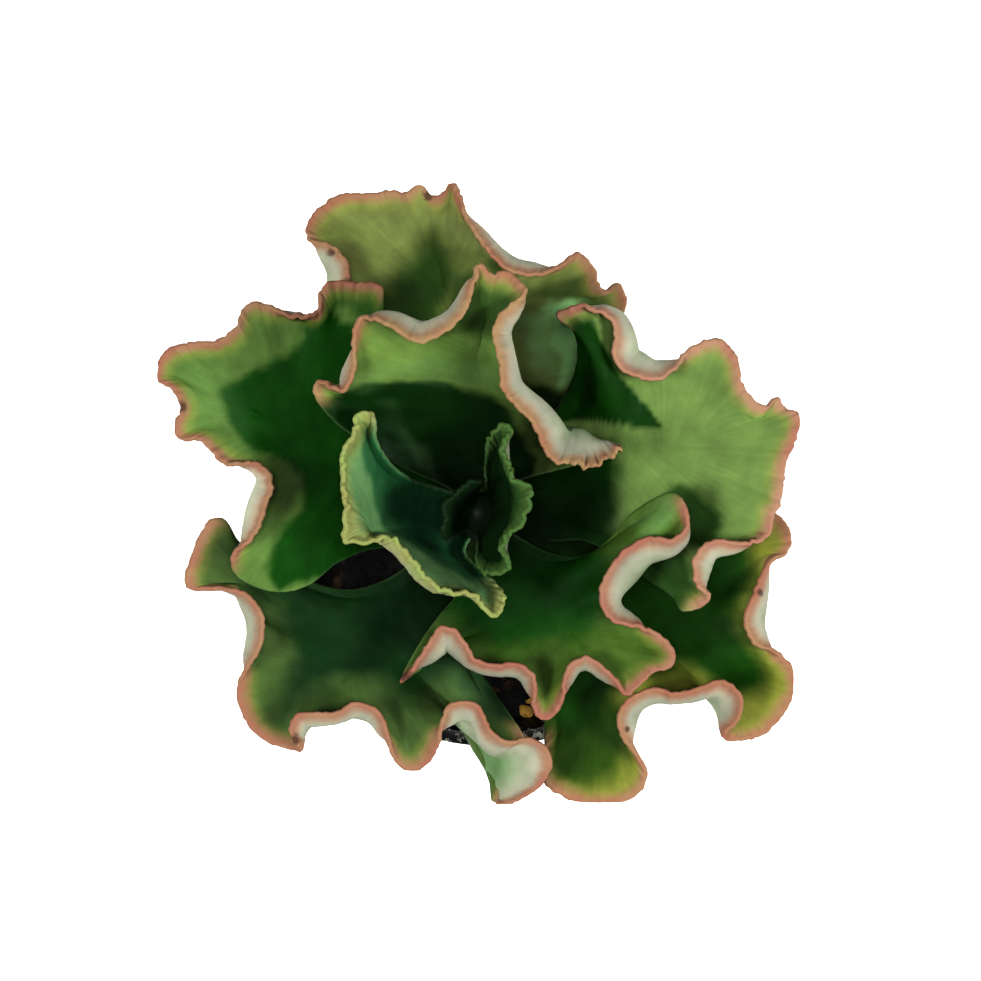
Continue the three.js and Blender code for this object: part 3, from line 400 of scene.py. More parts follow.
# All lengths are in millimetres and all angles in degrees:
#   heading: the way the leaf grows from the stem, anticlockwise from +X
#   spread: half the angle of stem that its neck takes up
#   slope: how steeply the blade rises to its edge
#   crowd: how closely the rays gather at the neck, on the left and on the right
#   frill: how deep the crinkles of the coloured edge are, as a share of their full height
#   lined: the left and the right station between which the edge is coloured, counted from 0
#   crimped: the two right stations between which the edge is pinched, and by how much more frill
#   lip: how far the coloured edge turns outward
#   midrib: three control points, from inside the stem out towards the tip
#   left, tip, right: the margin's stations, from the neck round the tip and back to the neck. Each is
#     [x, y, z, roll], with the roll's outward direction where it isn't square to the margin
LEAVES = [
    {
        "name": "leaf_north_outer", "heading": 93, "spread": 36, "slope": 8, "crowd": [0.85, 1],
        "frill": 0.6, "lined": [2, 13],
        "midrib": [[-3.2, 8.5, 80.5], [-6, 35, 88], [-11, 60, 93]],
        "left": [
            [-8, 16, 83, 0], [-16, 28, 88, 0], [-23, 38, 92, 1], [-28.5, 46, 97, 3], [-31.3, 54, 101, 4.5],
            [-32, 59.5, 102, 4.5], [-35.5, 63.4, 101, 3.5], [-39.8, 64.8, 99, 1.2], [-41, 67.2, 97.5, 0],
            [-38.5, 72, 96.5, 0], [-33, 75.4, 96, 0], [-27, 75.3, 97, 0], [-22, 76, 97, 0],
            [-18.5, 75.4, 98, 0],
        ],
        "tip": [-16, 77.5, 98.5, 0],
        "right": [
            [-13, 74.6, 98.5, 0], [-10.5, 75.2, 99.5, 0], [-8.3, 77.8, 101, 0.3], [-5.7, 70.3, 103.5, 1.6],
            [-1.8, 63.7, 105, 2.4], [4, 57.7, 106, 2.9], [10.5, 56.7, 105, 2.5], [15, 58.6, 103, 1.2],
            [19.2, 61.5, 101, 0], [22.6, 58.8, 100, 0], [24, 54.5, 99, 1], [26, 53.6, 99, 1.3],
            [28.3, 55, 99, 0.3], [30, 51, 98, 0], [27.5, 45.5, 96, 0], [22, 38.5, 93, 0],
            [17, 31.5, 90.5, 0], [10, 24, 87, 0], [3.5, 15, 83.5, 0],
        ],
    },
    {
        "name": "leaf_southeast_outer", "heading": 320, "spread": 36, "slope": 8, "crowd": [0.85, 1],
        "frill": 0.5, "lined": [3, 16],
        "midrib": [[0, 1.5, 80.5], [22, -15, 87], [42, -30, 92]],
        "left": [
            [10, 2.5, 83, 0], [24, 4, 87, 0], [38, 6, 91, 0], [50, 6.8, 94, 0], [60.5, 5.5, 97, 0],
            [66.2, 0.8, 98, 0], [66.3, -4, 99, 0.4], [61.7, -7.2, 101, 1.5], [59.4, -12, 102, 2.5],
            [57.2, -16.5, 103, 4], [56.5, -20.5, 103, 4.5], [58.5, -24.5, 102, 3.5], [63.6, -27, 99, 1],
            [67.5, -31, 97, 0], [68.6, -35.5, 95.5, 0], [66.5, -39.8, 94.5, 0], [63, -44.3, 94.5, 0],
            [58, -46.6, 95.5, 0],
        ],
        "tip": [52, -45.8, 98, 0.7],
        "right": [
            [55, -41.5, 101, 3.5], [55.2, -36.5, 103, 4.5], [51.5, -33.2, 103.5, 4], [47, -34.3, 103, 3.5],
            [42, -36, 102.5, 3], [36.5, -35, 102.5, 4], [31, -37, 102.5, 4.5], [28.5, -41.2, 102, 4.5],
            [29.7, -46, 100, 2.5], [33, -50.5, 97, 0.3], [35, -54.8, 95.5, 0], [33, -59, 94.5, 0],
            [28, -61.6, 94, 0], [22, -61.6, 94, 0], [16, -59.3, 94, 0], [12, -56, 94, 0],
            [12.5, -49, 92.5, 0], [12.5, -41, 90.5, 0], [11, -31, 88, 0], [8, -19, 85, 0],
            [3.5, -8, 82.5, 0],
        ],
    },
    {
        "name": "leaf_southwest_outer", "heading": 228, "spread": 51, "slope": 8, "crowd": [1.2, 1.55],
        "frill": 0.45, "lined": [5, 16],
        "midrib": [[-5.5, 0.5, 81], [-20, -22, 89], [-33, -34, 93]],
        "left": [
            [-5.5, -10, 83.5, 0], [-6, -19, 87, 0], [-4.5, -28, 90, 0], [-0.5, -35, 92, 0],
            [4, -41.5, 93.5, 0], [7, -46, 94, 0], [8, -51, 94, 0], [6.5, -56.5, 95, 0],
            [1.5, -61.3, 97, 0.5, 180], [6, -59.8, 99.5, 5, 175], [10.7, -56.4, 101.5, 9, 178],
            [13.2, -51.5, 103, 12, 185], [11.6, -47.4, 103.5, 10.5, 200], [8, -45.8, 103.5, 7.5, 215],
            [4.2, -46.6, 103, 5, 225], [0.6, -45, 102.5, 3.5, 225], [-1.4, -41.5, 102.5, 2.6, 235],
            [-3, -38.6, 103, 3.2, 245], [-6, -37.7, 103, 4, 262], [-9, -38.7, 103, 3.6, 285],
            [-10.7, -42, 102, 2.2], [-11.5, -46.5, 99.5, 0.8], [-14, -51.5, 96.5, 0],
            [-17.2, -53.6, 95.5, 0], [-20.4, -52.6, 95.5, 0], [-22.4, -48.5, 97.5, 1],
            [-23.4, -43.5, 100, 3], [-26, -39.2, 102, 4.5], [-30, -38.2, 102.5, 4.5],
            [-34.5, -40.3, 102.5, 4], [-39, -40.4, 102.5, 4], [-42.8, -40.8, 102, 4],
            [-44.4, -44.5, 100.5, 3, 330],
        ],
        "tip": [-42.3, -48.8, 97.5, 0.5],
        "right": [
            [-46.5, -48.4, 95, 0], [-51, -46.8, 94.5, 0], [-54.4, -43.3, 94.5, 0], [-56.3, -39, 95, 0],
            [-56.4, -34.5, 96.5, 0.5], [-54, -30, 99, 2], [-51.5, -26, 101, 3.2], [-50.5, -21.5, 102, 3.6],
            [-51.5, -17, 102, 3.5], [-54.5, -14, 101.5, 2.8], [-59, -12.8, 100.5, 0.6],
            [-64, -12.9, 98.7, 0], [-67.4, -12.6, 98, 0], [-67.9, -10, 98, 0], [-66.5, -6, 98.5, 0],
            [-65, -2, 99, 0], [-62, 2.3, 99.5, 0], [-59.4, 2.3, 99, 0], [-57.2, -1.6, 97.5, 0],
            [-52, -6.4, 96, 0], [-45, -9, 94.5, 0], [-39.5, -12.2, 93, 0], [-32, -13.8, 91, 0],
            [-24, -11.8, 88.3, 0], [-16.5, -6.5, 85.5, 0],
        ],
    },
    {
        "name": "leaf_west", "heading": 157, "spread": 36, "slope": 12, "crowd": [1, 0.85],
        "frill": 0.65, "lined": [8, 14],
        "midrib": [[-7, 5.8, 86], [-30, 15, 97], [-52, 26, 102]],
        "left": [
            [-14, -0.5, 90, 0], [-21, -2.8, 93, 0], [-28, -4, 95.5, 0], [-34.5, -6.8, 98, 0],
            [-40.3, -11.4, 100, 0], [-46, -13, 101, 0], [-51.5, -12, 102, 0], [-55.8, -9.3, 103, 0],
            [-57, -6, 104, 0.3], [-54.8, -3.4, 105.5, 1.5], [-51.3, 0.2, 107, 3], [-49.6, 4.8, 108, 4],
            [-48.2, 8.6, 108.5, 4.5], [-48.1, 12, 108.5, 4.5], [-50.6, 14.7, 107.5, 3],
            [-54.7, 15.1, 106, 1.5], [-58.5, 15.2, 105, 1], [-61.3, 18, 104.5, 1], [-63.5, 20.2, 104, 0.6],
            [-68.6, 20.8, 103, 0], [-69.3, 24, 103, 0], [-67.9, 27.5, 104, 0.6], [-70, 31.5, 104, 0.3],
        ],
        "tip": [-73.6, 33.8, 103.5, 0],
        "right": [
            [-73.2, 37.2, 103.5, 0], [-70.5, 40.2, 104, 0], [-65, 41.4, 105, 0.8], [-60, 41.8, 105.5, 1],
            [-56, 44.5, 105.5, 0.6], [-54.2, 48.8, 105, 0], [-51.5, 50.2, 105, 0], [-48, 49.2, 106, 1],
            [-44, 47.4, 107, 2], [-40, 47.2, 107, 1.6], [-37.5, 49, 106.5, 0.6], [-37.4, 52, 106, 0.1],
            [-35.5, 54.6, 105, 0], [-30, 54.6, 104.5, 0], [-24.5, 54, 104, 0], [-23.8, 47, 103, 0],
            [-21, 37, 100.5, 0], [-16, 25, 97, 0], [-10.5, 15, 92, 0],
        ],
    },
    {
        "name": "leaf_east", "heading": 21, "spread": 36, "slope": 12, "crowd": [1.4, 0.85],
        "frill": 0.6, "lined": [5, 15],
        "midrib": [[1, 5.5, 86], [25, 14, 96], [44, 20, 101]],
        "left": [
            [7, 16, 93, 0], [13, 24.3, 98, 0], [17.8, 32, 103, 0], [19.4, 39, 108, 0], [18, 44, 111, 0],
            [14.6, 46.8, 112.5, 0.3], [18.5, 48.8, 113, 1.5], [22.5, 48.2, 112.5, 1.5], [26, 46.4, 112, 3],
            [27.3, 43, 112, 4.5], [26.7, 39, 112, 5.5], [28.5, 35.6, 111.5, 5.5], [32, 34, 111, 5.5],
            [36.5, 33.4, 110, 4.5], [40, 35.8, 108, 2.5], [43.9, 39.9, 106, 0.4], [48, 42, 105, 0],
            [51.2, 41.6, 104.5, 0], [54, 38, 105, 0.4], [55, 32.5, 105.5, 0.6], [57.8, 28.6, 105.5, 0.5],
            [60.8, 27.4, 105.5, 0],
        ],
        "tip": [62.8, 29.2, 105, 0],
        "right": [
            [64.4, 27.3, 105, 0], [67.6, 25.4, 106, 0], [67, 21, 105.5, 0], [64.8, 15.8, 105, 0],
            [64, 10.5, 105, 0], [63.4, 6.5, 105, 0], [61.7, 3, 105.5, 0.4], [61.4, 0, 105.5, 1],
            [57.5, -2.3, 106.5, 1.5], [52.5, -2.3, 108, 2.5], [48.2, -2.1, 109, 3.5],
            [45.3, -4.5, 109.5, 4], [44.5, -8, 109, 4], [45.4, -11.6, 107.5, 2.6], [48, -14.2, 105.5, 0.5],
            [46, -16.4, 104, 0], [42.2, -17, 103, 0], [40.5, -14.3, 102, 0], [38, -12.3, 101, 0],
            [34, -9.8, 99, 0], [28, -5.2, 97, 0], [21, -1.8, 94, 0], [13, -1.8, 91, 0],
        ],
    },
    {
        "name": "leaf_south", "heading": 300, "spread": 36, "slope": 20, "crowd": [1.2, 1],
        "frill": 0.5, "lined": [7, 19],
        "midrib": [[-1, 0.5, 91], [9, -15, 98], [19, -24, 99.5]],
        "left": [
            [5, -1, 94, 0], [13, -5.2, 97, 0], [20, -5.8, 99.5, 0], [25.5, -2.5, 103, 0],
            [30.5, 3.4, 107, 0], [35.5, 7, 110, 0], [39.3, 8.3, 112, 0], [42, 5.5, 113, 0.4],
            [42.3, 1, 113, 2], [39.5, -1.6, 113, 3.5], [35, -1.2, 113, 5], [31, -2.6, 113, 5.5],
            [27.8, -5.4, 113, 6], [25.2, -9.2, 112.5, 6], [24, -13.2, 112, 6], [24.8, -17, 111, 5],
            [28, -19.6, 110, 3.5], [32.5, -20.6, 108.5, 1.8], [37, -22.9, 107, 0.4], [40.2, -26.4, 105, 0],
            [39.5, -29.6, 104, 0], [35.5, -31, 104, 0.4], [32.3, -33.8, 104.5, 0.8],
        ],
        "tip": [30.2, -35.7, 104.5, 0.3],
        "right": [
            [27, -32.2, 105.5, 2.5], [23.8, -29.1, 106.5, 4], [20.3, -27.6, 107, 4.5],
            [17.4, -29.5, 107, 3.8], [16.2, -33, 106, 2.6], [15.8, -37, 104, 0.7], [13.8, -40.6, 102.5, 0],
            [11, -41.1, 102, 0], [9.6, -38.5, 103, 0.8], [9.8, -34.5, 105, 2.6], [8.8, -30.8, 106, 3.6],
            [5, -29.1, 106, 3.3], [0.5, -29.4, 105.5, 2.4], [-3.3, -28.2, 105.5, 2.4],
            [-5.8, -24.5, 106, 3.6], [-8, -21.6, 106.5, 4.5], [-10.7, -21.1, 106.5, 5],
            [-13, -23.8, 105.5, 4.2], [-15.5, -28, 104, 2.2], [-19.8, -33.3, 102, 0],
            [-18, -29.5, 101.5, 0], [-14.5, -23.5, 100.5, 0], [-11, -18.7, 99, 0], [-7.5, -14.5, 97, 0],
            [-6, -8, 94.5, 0],
        ],
    },
    {
        "name": "leaf_north_inner", "heading": 86, "spread": 38, "slope": 26, "crowd": [1, 0.85],
        "frill": 0.65, "lined": [4, 16], "crimped": [12, 16, 1.3],
        "midrib": [[-2.8, 7, 95], [-3, 27, 118], [-1.5, 44, 122]],
        "left": [
            [-11, 11, 102, 0], [-19, 14.5, 109, 0], [-27, 19.5, 114, 0], [-33.5, 24.5, 117, 0],
            [-37.2, 29.8, 119.5, 0], [-36.8, 31.8, 120.5, 0.3], [-33.8, 31.2, 122.5, 1],
            [-31, 30.2, 124, 2], [-29.2, 32.6, 125, 2.4], [-28.5, 36.5, 126, 2], [-28.5, 41, 127, 1],
            [-27.2, 44.6, 128, 0.8], [-24.5, 44.9, 129, 2], [-21, 43.4, 130, 3], [-17.5, 41.2, 130.5, 4],
            [-14.2, 39.9, 131, 4.8], [-11, 41.5, 131, 4.8], [-7.3, 43.8, 131, 4.4], [-5, 47.5, 131, 3.8],
            [-3.7, 51.5, 130.5, 2.4], [-2.2, 55.8, 130, 0.4], [0.5, 53.6, 129.5, 0.3],
        ],
        "tip": [2.7, 54.4, 129, 0],
        "right": [
            [6, 52.2, 129.5, 0.4], [7.2, 50.2, 130, 1], [5.4, 48.4, 130.5, 3], [2.5, 45.5, 131, 4.5],
            [0.7, 42, 131, 5.5], [1.6, 38.5, 131, 5.5], [2.2, 34.5, 130, 5.5], [2.8, 30.3, 129, 6],
            [5, 27.3, 127.5, 6.3], [8, 24.6, 125.5, 6.3], [10.4, 20.8, 124, 6.3], [11.8, 17.3, 122.5, 6.5],
            [14.2, 15.4, 121, 7], [18, 14.8, 119.5, 7.3], [21.5, 14.6, 118.5, 7], [25, 15.8, 118, 4.5],
            [27.6, 18.5, 117, 1.2], [26, 17.5, 114, 0], [20, 15.4, 111, 0], [13, 13.5, 107, 0],
            [6, 11.5, 102, 0],
        ],
    },
    {
        "name": "leaf_west_inner", "heading": 190, "spread": 65, "slope": 60, "crowd": [1.4, 1],
        "frill": 0.9, "lined": [2, 6], "lip": 0.9,
        "midrib": [[-7, 3.3, 96], [-24, 0, 98], [-27, -0.5, 113]],
        "left": [
            [-6, -4.5, 100, 0], [-2.5, -8.5, 106, 0], [1, -11.5, 111.5, 0], [2, -14, 115, 0],
            [0, -17.6, 116, 0], [-2, -15.5, 116.5, 0.6], [-4, -13.2, 117.5, 1.2], [-7.5, -12.2, 118, 1.4],
            [-11, -11.7, 118.5, 1.8], [-14.5, -8.8, 119, 2.2], [-17.5, -5.3, 119.5, 2.4],
            [-21, -1.6, 120, 2.2], [-25.5, -0.9, 120, 0.5],
        ],
        "tip": [-30, -1.4, 120, 0],
        "right": [
            [-30, 1.5, 120.5, 0.5], [-30.4, 6, 121, 1.2], [-31, 12, 121, 1.6], [-30.7, 17.3, 121, 1.2],
            [-28.8, 20, 121, 0.6], [-28.2, 24, 121, 0.2], [-25.3, 24.5, 120, 0], [-24.6, 19.8, 118, 0],
            [-21.6, 14.6, 113, 0], [-17.2, 11.2, 107, 0], [-12, 9.5, 101.5, 0],
        ],
    },
    {
        "name": "leaf_east_inner", "heading": 5, "spread": 92, "slope": 60, "crowd": [1.4, 1.2],
        "frill": 0.9, "lined": [2, 7], "lip": 0.5,
        "midrib": [[-0.5, 4.3, 102], [5.5, 5, 104], [6.5, 6.5, 116]],
        "left": [
            [-1, 9.5, 106, 0], [-1, 14, 112, 0], [-0.3, 18.6, 117.5, 0], [1.5, 21.8, 120, 0],
            [4, 22.4, 121, 0], [3.6, 19.5, 122, 0], [2.6, 17, 122, 0], [4.4, 13.5, 122.5, 0],
            [4.9, 10.8, 123, 0],
        ],
        "tip": [8, 9.6, 123, 0],
        "right": [
            [7.5, 6, 123, 0], [6.3, 2.2, 122.5, 0], [3.3, -0.5, 122, 0], [2.4, -3.2, 121, 0],
            [4.1, -5.4, 120, 0], [3.2, -7.4, 119, 0], [0, -8.2, 117, 0], [-2.5, -6.5, 113.5, 0],
            [-2.8, -2.5, 107.5, 0],
        ],
    },
    {
        "name": "heart_leaf_west", "heading": 160, "spread": 75, "slope": 60, "crowd": [1.4, 1],
        "frill": 0.5, "lined": [1, 2], "lip": 0.3,
        "midrib": [[-4.5, 4.5, 105], [-8.5, 6, 106.5], [-9.2, 6, 114]],
        "left": [[-7.2, -0.2, 109, 0], [-9.4, -1.2, 114, 0], [-10.2, 0.8, 117.5, 0], [-9.4, 3.2, 118.5, 0]],
        "tip": [-9.6, 6, 119.5, 0],
        "right": [[-7.6, 8, 118.5, 0], [-5.6, 10, 118, 0], [-2.6, 11, 116, 0], [-2.6, 9.4, 110, 0]],
    },
]

# A blade is thickest at its neck, which starts inside the stem. It thins along the midrib and out to
# its edge. A steep leaf stands round the heart, and is younger and thinner.
NECK_RADIUS = 4.2
NECK_THICK = 4.2
RIB_END_THICK = 2.4
EDGE_THICK = 1.1
THINNING = 0.8
STEEP_SLOPE = 50
HEART_THICK_SHARE = 0.6

# Rays run from the midrib out to the margin, and STEPS are the places of points along each. Inside the
# edge a ray passes a shoulder, a foot and a middle. The first two are set back from the edge and below
# it, in millimetres, and follow the roll where the edge is rolled. Both are evened out along the margin.
HALF_RAYS = 250
SHOULDER_AT = 0.75
STEPS = np.concatenate([np.linspace(0, SHOULDER_AT, 20), np.linspace(SHOULDER_AT, 1, 12)[1:]])
RAYS_OUT = 1 - np.abs(np.arange(-HALF_RAYS, HALF_RAYS + 1)) / HALF_RAYS
SHOULDER = {"back": 4, "out_share": 1, "inset": 0, "drop": 2, "drop_share": 0.67, "evened": 2.0}
FOOT = {"back": 9, "out_share": 1.5, "inset": 8.5, "drop": 4, "drop_share": 1.1, "evened": 5.0}
MIDDLE = {"ahead": 0.55, "aside": 0.42, "up": 0.4}
RIB_PACE = 0.6
SQUARE_SHARE = 0.6
FULL_REACH = 22
FULLY_ROLLED = 2.5
DEEPEST_ROLL = 6.5
ROLL_EVENED = 1.5
LINE_SAMPLES = 6001
EVEN_SAMPLES = 1201


def smooth_through(knots, places):
    """Points on the smooth curve through knots, of shape (knots, ..., 3), at places from 0 to 1."""
    knots = np.concatenate([[2 * knots[0] - knots[1]], knots, [2 * knots[-1] - knots[-2]]])
    gaps = np.sqrt(np.linalg.norm(np.diff(knots, axis=0), axis=-1, keepdims=True))
    gaps = np.maximum(gaps, 1e-3)
    spans = len(knots) - 3
    at = np.minimum((places * spans).astype(int), spans - 1)
    share = (places * spans - at).reshape((-1,) + (1,) * (knots.ndim - 1))
    before, here, there, beyond = knots[at], knots[at + 1], knots[at + 2], knots[at + 3]
    gap_before, gap, gap_beyond = gaps[at], gaps[at + 1], gaps[at + 2]
    leave = (here - before) / gap_before - (there - before) / (gap_before + gap) + (there - here) / gap
    leave = leave * gap
    arrive = (there - here) / gap - (beyond - here) / (gap + gap_beyond) + (beyond - there) / gap_beyond
    arrive = arrive * gap
    cubic = 2 * here - 2 * there + leave + arrive
    square = -3 * here + 3 * there - 2 * leave - arrive
    return ((cubic * share + square) * share + leave) * share + here


def evened(row, reach, spacing):
    """Values along a margin, evened out over a reach in millimetres. Both ends stay."""
    half = int(3 * reach / spacing) + 1
    weights = np.exp(-0.5 * (np.arange(-half, half + 1) * spacing / reach) ** 2)
    weights /= weights.sum()
    ahead = 2 * row[:1] - row[half:0:-1]
    behind = 2 * row[-1:] - row[-2:-half - 2:-1]
    longer = np.concatenate([ahead, row, behind])
    return sum(weight * longer[place:place + len(row)] for place, weight in enumerate(weights))


def unit(vectors):
    """The vectors at length 1."""
    return vectors / np.maximum(np.linalg.norm(vectors, axis=-1, keepdims=True), 1e-9)


def soft_step(values, low, high):
    """A smooth step from 0 at low to 1 at high."""
    share = np.clip((values - low) / (high - low), 0, 1)
    return share * share * (3 - 2 * share)


def facing(degrees):
    """The level direction at an angle."""
    return np.array([math.cos(math.radians(degrees)), math.sin(math.radians(degrees))])


def outward_of(stations, places, edge):
    """The level direction out of the leaf at each sample: square to the margin, or as a station gives."""
    spans = len(stations) - 1
    run = np.gradient(edge, axis=0)
    square = unit(np.stack([-run[:, 1], run[:, 0]], axis=1))
    given = [facing(station[4]) if len(station) > 4 else None for station in stations]
    outward = square.copy()
    for sample, span in enumerate(np.minimum((places * spans).astype(int), spans - 1)):
        if given[span] is not None or given[span + 1] is not None:
            part = places[sample] * spans - span
            first = square[sample] if given[span] is None else given[span]
            last = square[sample] if given[span + 1] is None else given[span + 1]
            outward[sample] = (1 - part) * first + part * last
    return unit(outward)


def leaf_margin(leaf):
    """A leaf's margin from neck to tip to neck, in even samples: how far along it each is, its place, its
    roll and its outward direction. With them go the lengths at which the stations stand."""
    corners = []
    for turn in (1, -1):
        x, y = NECK_RADIUS * facing(leaf["heading"] + turn * leaf["spread"])
        corners.append([STEM_X + x, STEM_Y + y, leaf["midrib"][0][2], 0])
    stations = [corners[0]] + leaf["left"] + [leaf["tip"]] + leaf["right"] + [corners[1]]
    spans = len(stations) - 1
    knots = np.array([station[:3] for station in stations], dtype=float)
    fine = np.linspace(0, 1, LINE_SAMPLES)
    steps = np.linalg.norm(np.diff(smooth_through(knots, fine), axis=0), axis=1)
    travel = np.concatenate([[0], np.cumsum(steps)])
    length = travel[-1]
    spacing = length / (EVEN_SAMPLES - 1)
    share = np.linspace(0, 1, EVEN_SAMPLES)
    places = np.interp(share * length, travel, fine)
    edge = smooth_through(knots, places)
    roll = np.interp(places * spans, np.arange(spans + 1), [station[3] for station in stations])
    spots = np.interp(np.arange(spans + 1) / spans, fine, travel)
    tip = len(leaf["left"]) + 1
    return {
        "length": length, "spacing": spacing, "share": share, "edge": edge,
        "roll": evened(roll[:, None], ROLL_EVENED, spacing),
        "outward": unit(evened(outward_of(stations, places, edge), ROLL_EVENED, spacing)),
        "tip_share": spots[tip] / length, "left_spots": spots[1:], "right_spots": spots[tip + 1:],
    }


def rib_beside(leaf, margin):
    """The point of the midrib that each sample of the margin belongs to."""
    share, tip_share = margin["share"], margin["tip_share"]
    on_left = share <= tip_share
    side_share = np.where(on_left, share / tip_share, (1 - share) / (1 - tip_share))
    out_share = side_share ** np.where(on_left, 1 / leaf["crowd"][0], 1 / leaf["crowd"][1])
    pace = (out_share ** RIB_PACE)[:, None]
    start, by, end = np.array(leaf["midrib"], dtype=float)
    return (1 - pace) ** 2 * start + 2 * pace * (1 - pace) * by + pace ** 2 * end


def leaf_surface(leaf, margin, ray_share):
    """The middle surface of a blade, of shape (rays, steps, 3)."""
    edge, outward, roll = margin["edge"], margin["outward"], margin["roll"]
    rib = rib_beside(leaf, margin)
    flat = unit(unit(edge[:, :2] - rib[:, :2]) + SQUARE_SHARE * outward)
    reach = np.minimum(1, np.linalg.norm(edge - rib, axis=1, keepdims=True) / FULL_REACH)
    rolled = soft_step(roll, 0, FULLY_ROLLED)
    depth = np.minimum(roll, DEEPEST_ROLL)
    slope = math.radians(leaf["slope"])

    def under_edge(form):
        roll_out = form["out_share"] * roll - form["inset"]
        roll_down = form["drop"] + form["drop_share"] * depth
        level = edge[:, :2] - flat * form["back"] * math.cos(slope) * reach * (1 - rolled)
        level = level + outward * roll_out * reach * rolled
        down = reach * (form["back"] * math.sin(slope) * (1 - rolled) + roll_down * rolled)
        return evened(np.concatenate([level, edge[:, 2:] - down], axis=1), form["evened"], margin["spacing"])

    shoulder = under_edge(SHOULDER)
    foot = under_edge(FOOT)
    ahead = facing(leaf["heading"])
    aside = np.array([-ahead[1], ahead[0]])
    span = foot - rib
    middle = rib.copy()
    middle[:, :2] += MIDDLE["ahead"] * (span[:, :2] @ ahead)[:, None] * ahead
    middle[:, :2] += MIDDLE["aside"] * (span[:, :2] @ aside)[:, None] * aside
    middle[:, 2] += MIDDLE["up"] * span[:, 2]
    rows = np.stack([np.stack([np.interp(ray_share, margin["share"], row[:, axis]) for axis in range(3)],
                              axis=1) for row in (rib, middle, foot, shoulder, edge)])
    return smooth_through(rows, STEPS).transpose(1, 0, 2)


# Flesh is stiff, so a blade is drawn taut between its midrib and its rolls, each point pulled again and
# again towards its neighbours along the margin and along the ray. The inner part gives upwards too.
TAUT_PASSES = 900
TAUT_GIVE = 0.95
LIFT_FADES = (0.34, 0.5)
PULL_ALONG = 0.43
PULL_INWARD = 0.07


def draw_taut(surface):
    """Draws a blade taut. Its midrib, its edge and its rolls keep their place."""
    last = int(np.searchsorted(STEPS, SHOULDER_AT - 1e-6))
    lift = TAUT_GIVE * (1 - soft_step(STEPS[1:last], *LIFT_FADES))[None, :, None]
    give = np.concatenate([np.full((1, last - 1, 2), TAUT_GIVE), lift], axis=2)
    for _ in range(TAUT_PASSES):
        inner = surface[1:-1, 1:last]
        mean = PULL_ALONG * (surface[:-2, 1:last] + surface[2:, 1:last])
        mean += PULL_INWARD * (surface[1:-1, 0:last - 1] + surface[1:-1, 2:last + 1])
        inner += give * (mean - inner)


# The edge is crinkled by several waves, as (length, height) in millimetres, each of which swells and
# fades along the edge. The crinkles fade inwards, are faint where the edge isn't coloured, and are
# deeper where it is crimped. A lip is an edge that turns outward.
CRINKLES = ((7.3, 0.28), (4.4, 0.24), (3.1, 0.28), (2.2, 0.24), (1.5, 0.2))
BEAT_LENGTHS = 5.3
BEAT = 0.45
WHOLE_TURN = 6.3
FRILL_OUT = 0.75
FRILL_UP = 0.9
UP_SEED = 50
FRILL_REACH = 2.6
PLAIN_FRILL = 0.25
LIP_REACH = 4
LINED_FADES = ((5, 1), (1, 5))
CRIMPED_FADES = ((2, 2), (0, 3))


def crinkle(along, rough, seed):
    """A fine uneven wave along the edge, in millimetres."""
    random = np.random.default_rng(seed)
    wave = np.zeros(len(along))
    for length, size in CRINKLES:
        beat = math.tau * along / (BEAT_LENGTHS * length) + WHOLE_TURN * random.random()
        beat = 1 - BEAT + BEAT * np.sin(beat)
        wave += size * beat * np.sin(math.tau * along / length + WHOLE_TURN * random.random())
    return rough * wave


def between(along, start, end, fades):
    """1 between two lengths along the margin and 0 beyond them, with a fade from before to after each."""
    (start_before, start_after), (end_before, end_after) = fades
    risen = soft_step(along, start - start_before, start + start_after)
    return risen * (1 - soft_step(along, end - end_before, end + end_after))


def ruffled(surface, edge_mm, along, frill, lip, seed):
    """The surface with its edge crinkled and its lip turned outward."""
    outmost = unit(surface[:, -1] - surface[:, -4])
    rise = unit(np.cross(np.gradient(surface[:, -1], axis=0), outmost))
    wave_out = crinkle(along, FRILL_OUT * frill, seed)[:, None] * outmost
    wave_up = crinkle(along, FRILL_UP * frill, seed + UP_SEED)[:, None] * rise
    surface = surface + np.exp(-edge_mm / FRILL_REACH)[:, :, None] * (wave_out + wave_up)[:, None, :]
    turned = np.clip(1 - edge_mm / LIP_REACH, 0, 1)[:, :, None] ** 2 * lip[:, None, None]
    away = unit((surface[:, -1] - surface[HALF_RAYS, 0]) * (1, 1, 0))
    return surface + turned * away[:, None, :]


# Both faces of a blade lie half its thickness off the middle surface. The flesh swells a little in
# broad patches, away from the edge, and ripples finely all over, the upper face more than the lower.
EVEN_PASSES = 6
EVEN_PULL = 0.3
SWELL_LENGTH = 9
SWELL_HEIGHT = 0.55
SWELL_FADES = (1, 9)
RIPPLE_LENGTH = 3.4
RIPPLE_HEIGHT = 0.22
LOWER_SHARE = 0.6

# The edge between the faces is round, with three rows of points: the turn of each in degrees from the
# upper face, and how far it counts as underside.
RIM_TURNS = (40, 90, 140)
RIM_UNDER = (0.15, 0.5, 0.85)
OUTLINE_ROOM = 0.8


def upward(points, quads):
    """The direction in which the upper face lies from each point, evened out over its neighbours."""
    normals = np.zeros_like(points)
    corner_a, corner_b, corner_c, corner_d = (points[quads[:, corner]] for corner in range(4))
    face_normals = np.cross(corner_c - corner_a, corner_d - corner_b)
    for corner in range(4):
        np.add.at(normals, quads[:, corner], face_normals)
    normals = unit(normals)
    for _ in range(EVEN_PASSES):
        sums = normals.copy()
        around = normals[quads].sum(axis=1)
        for corner in range(4):
            np.add.at(sums, quads[:, corner], EVEN_PULL * around)
        normals = unit(sums)
    return normals


def unevenness(points, length, shift):
    """A soft unevenness with bumps of about the given length in millimetres."""
    return np.array([noise.noise(Vector(point / length + shift)) for point in points])[:, None]


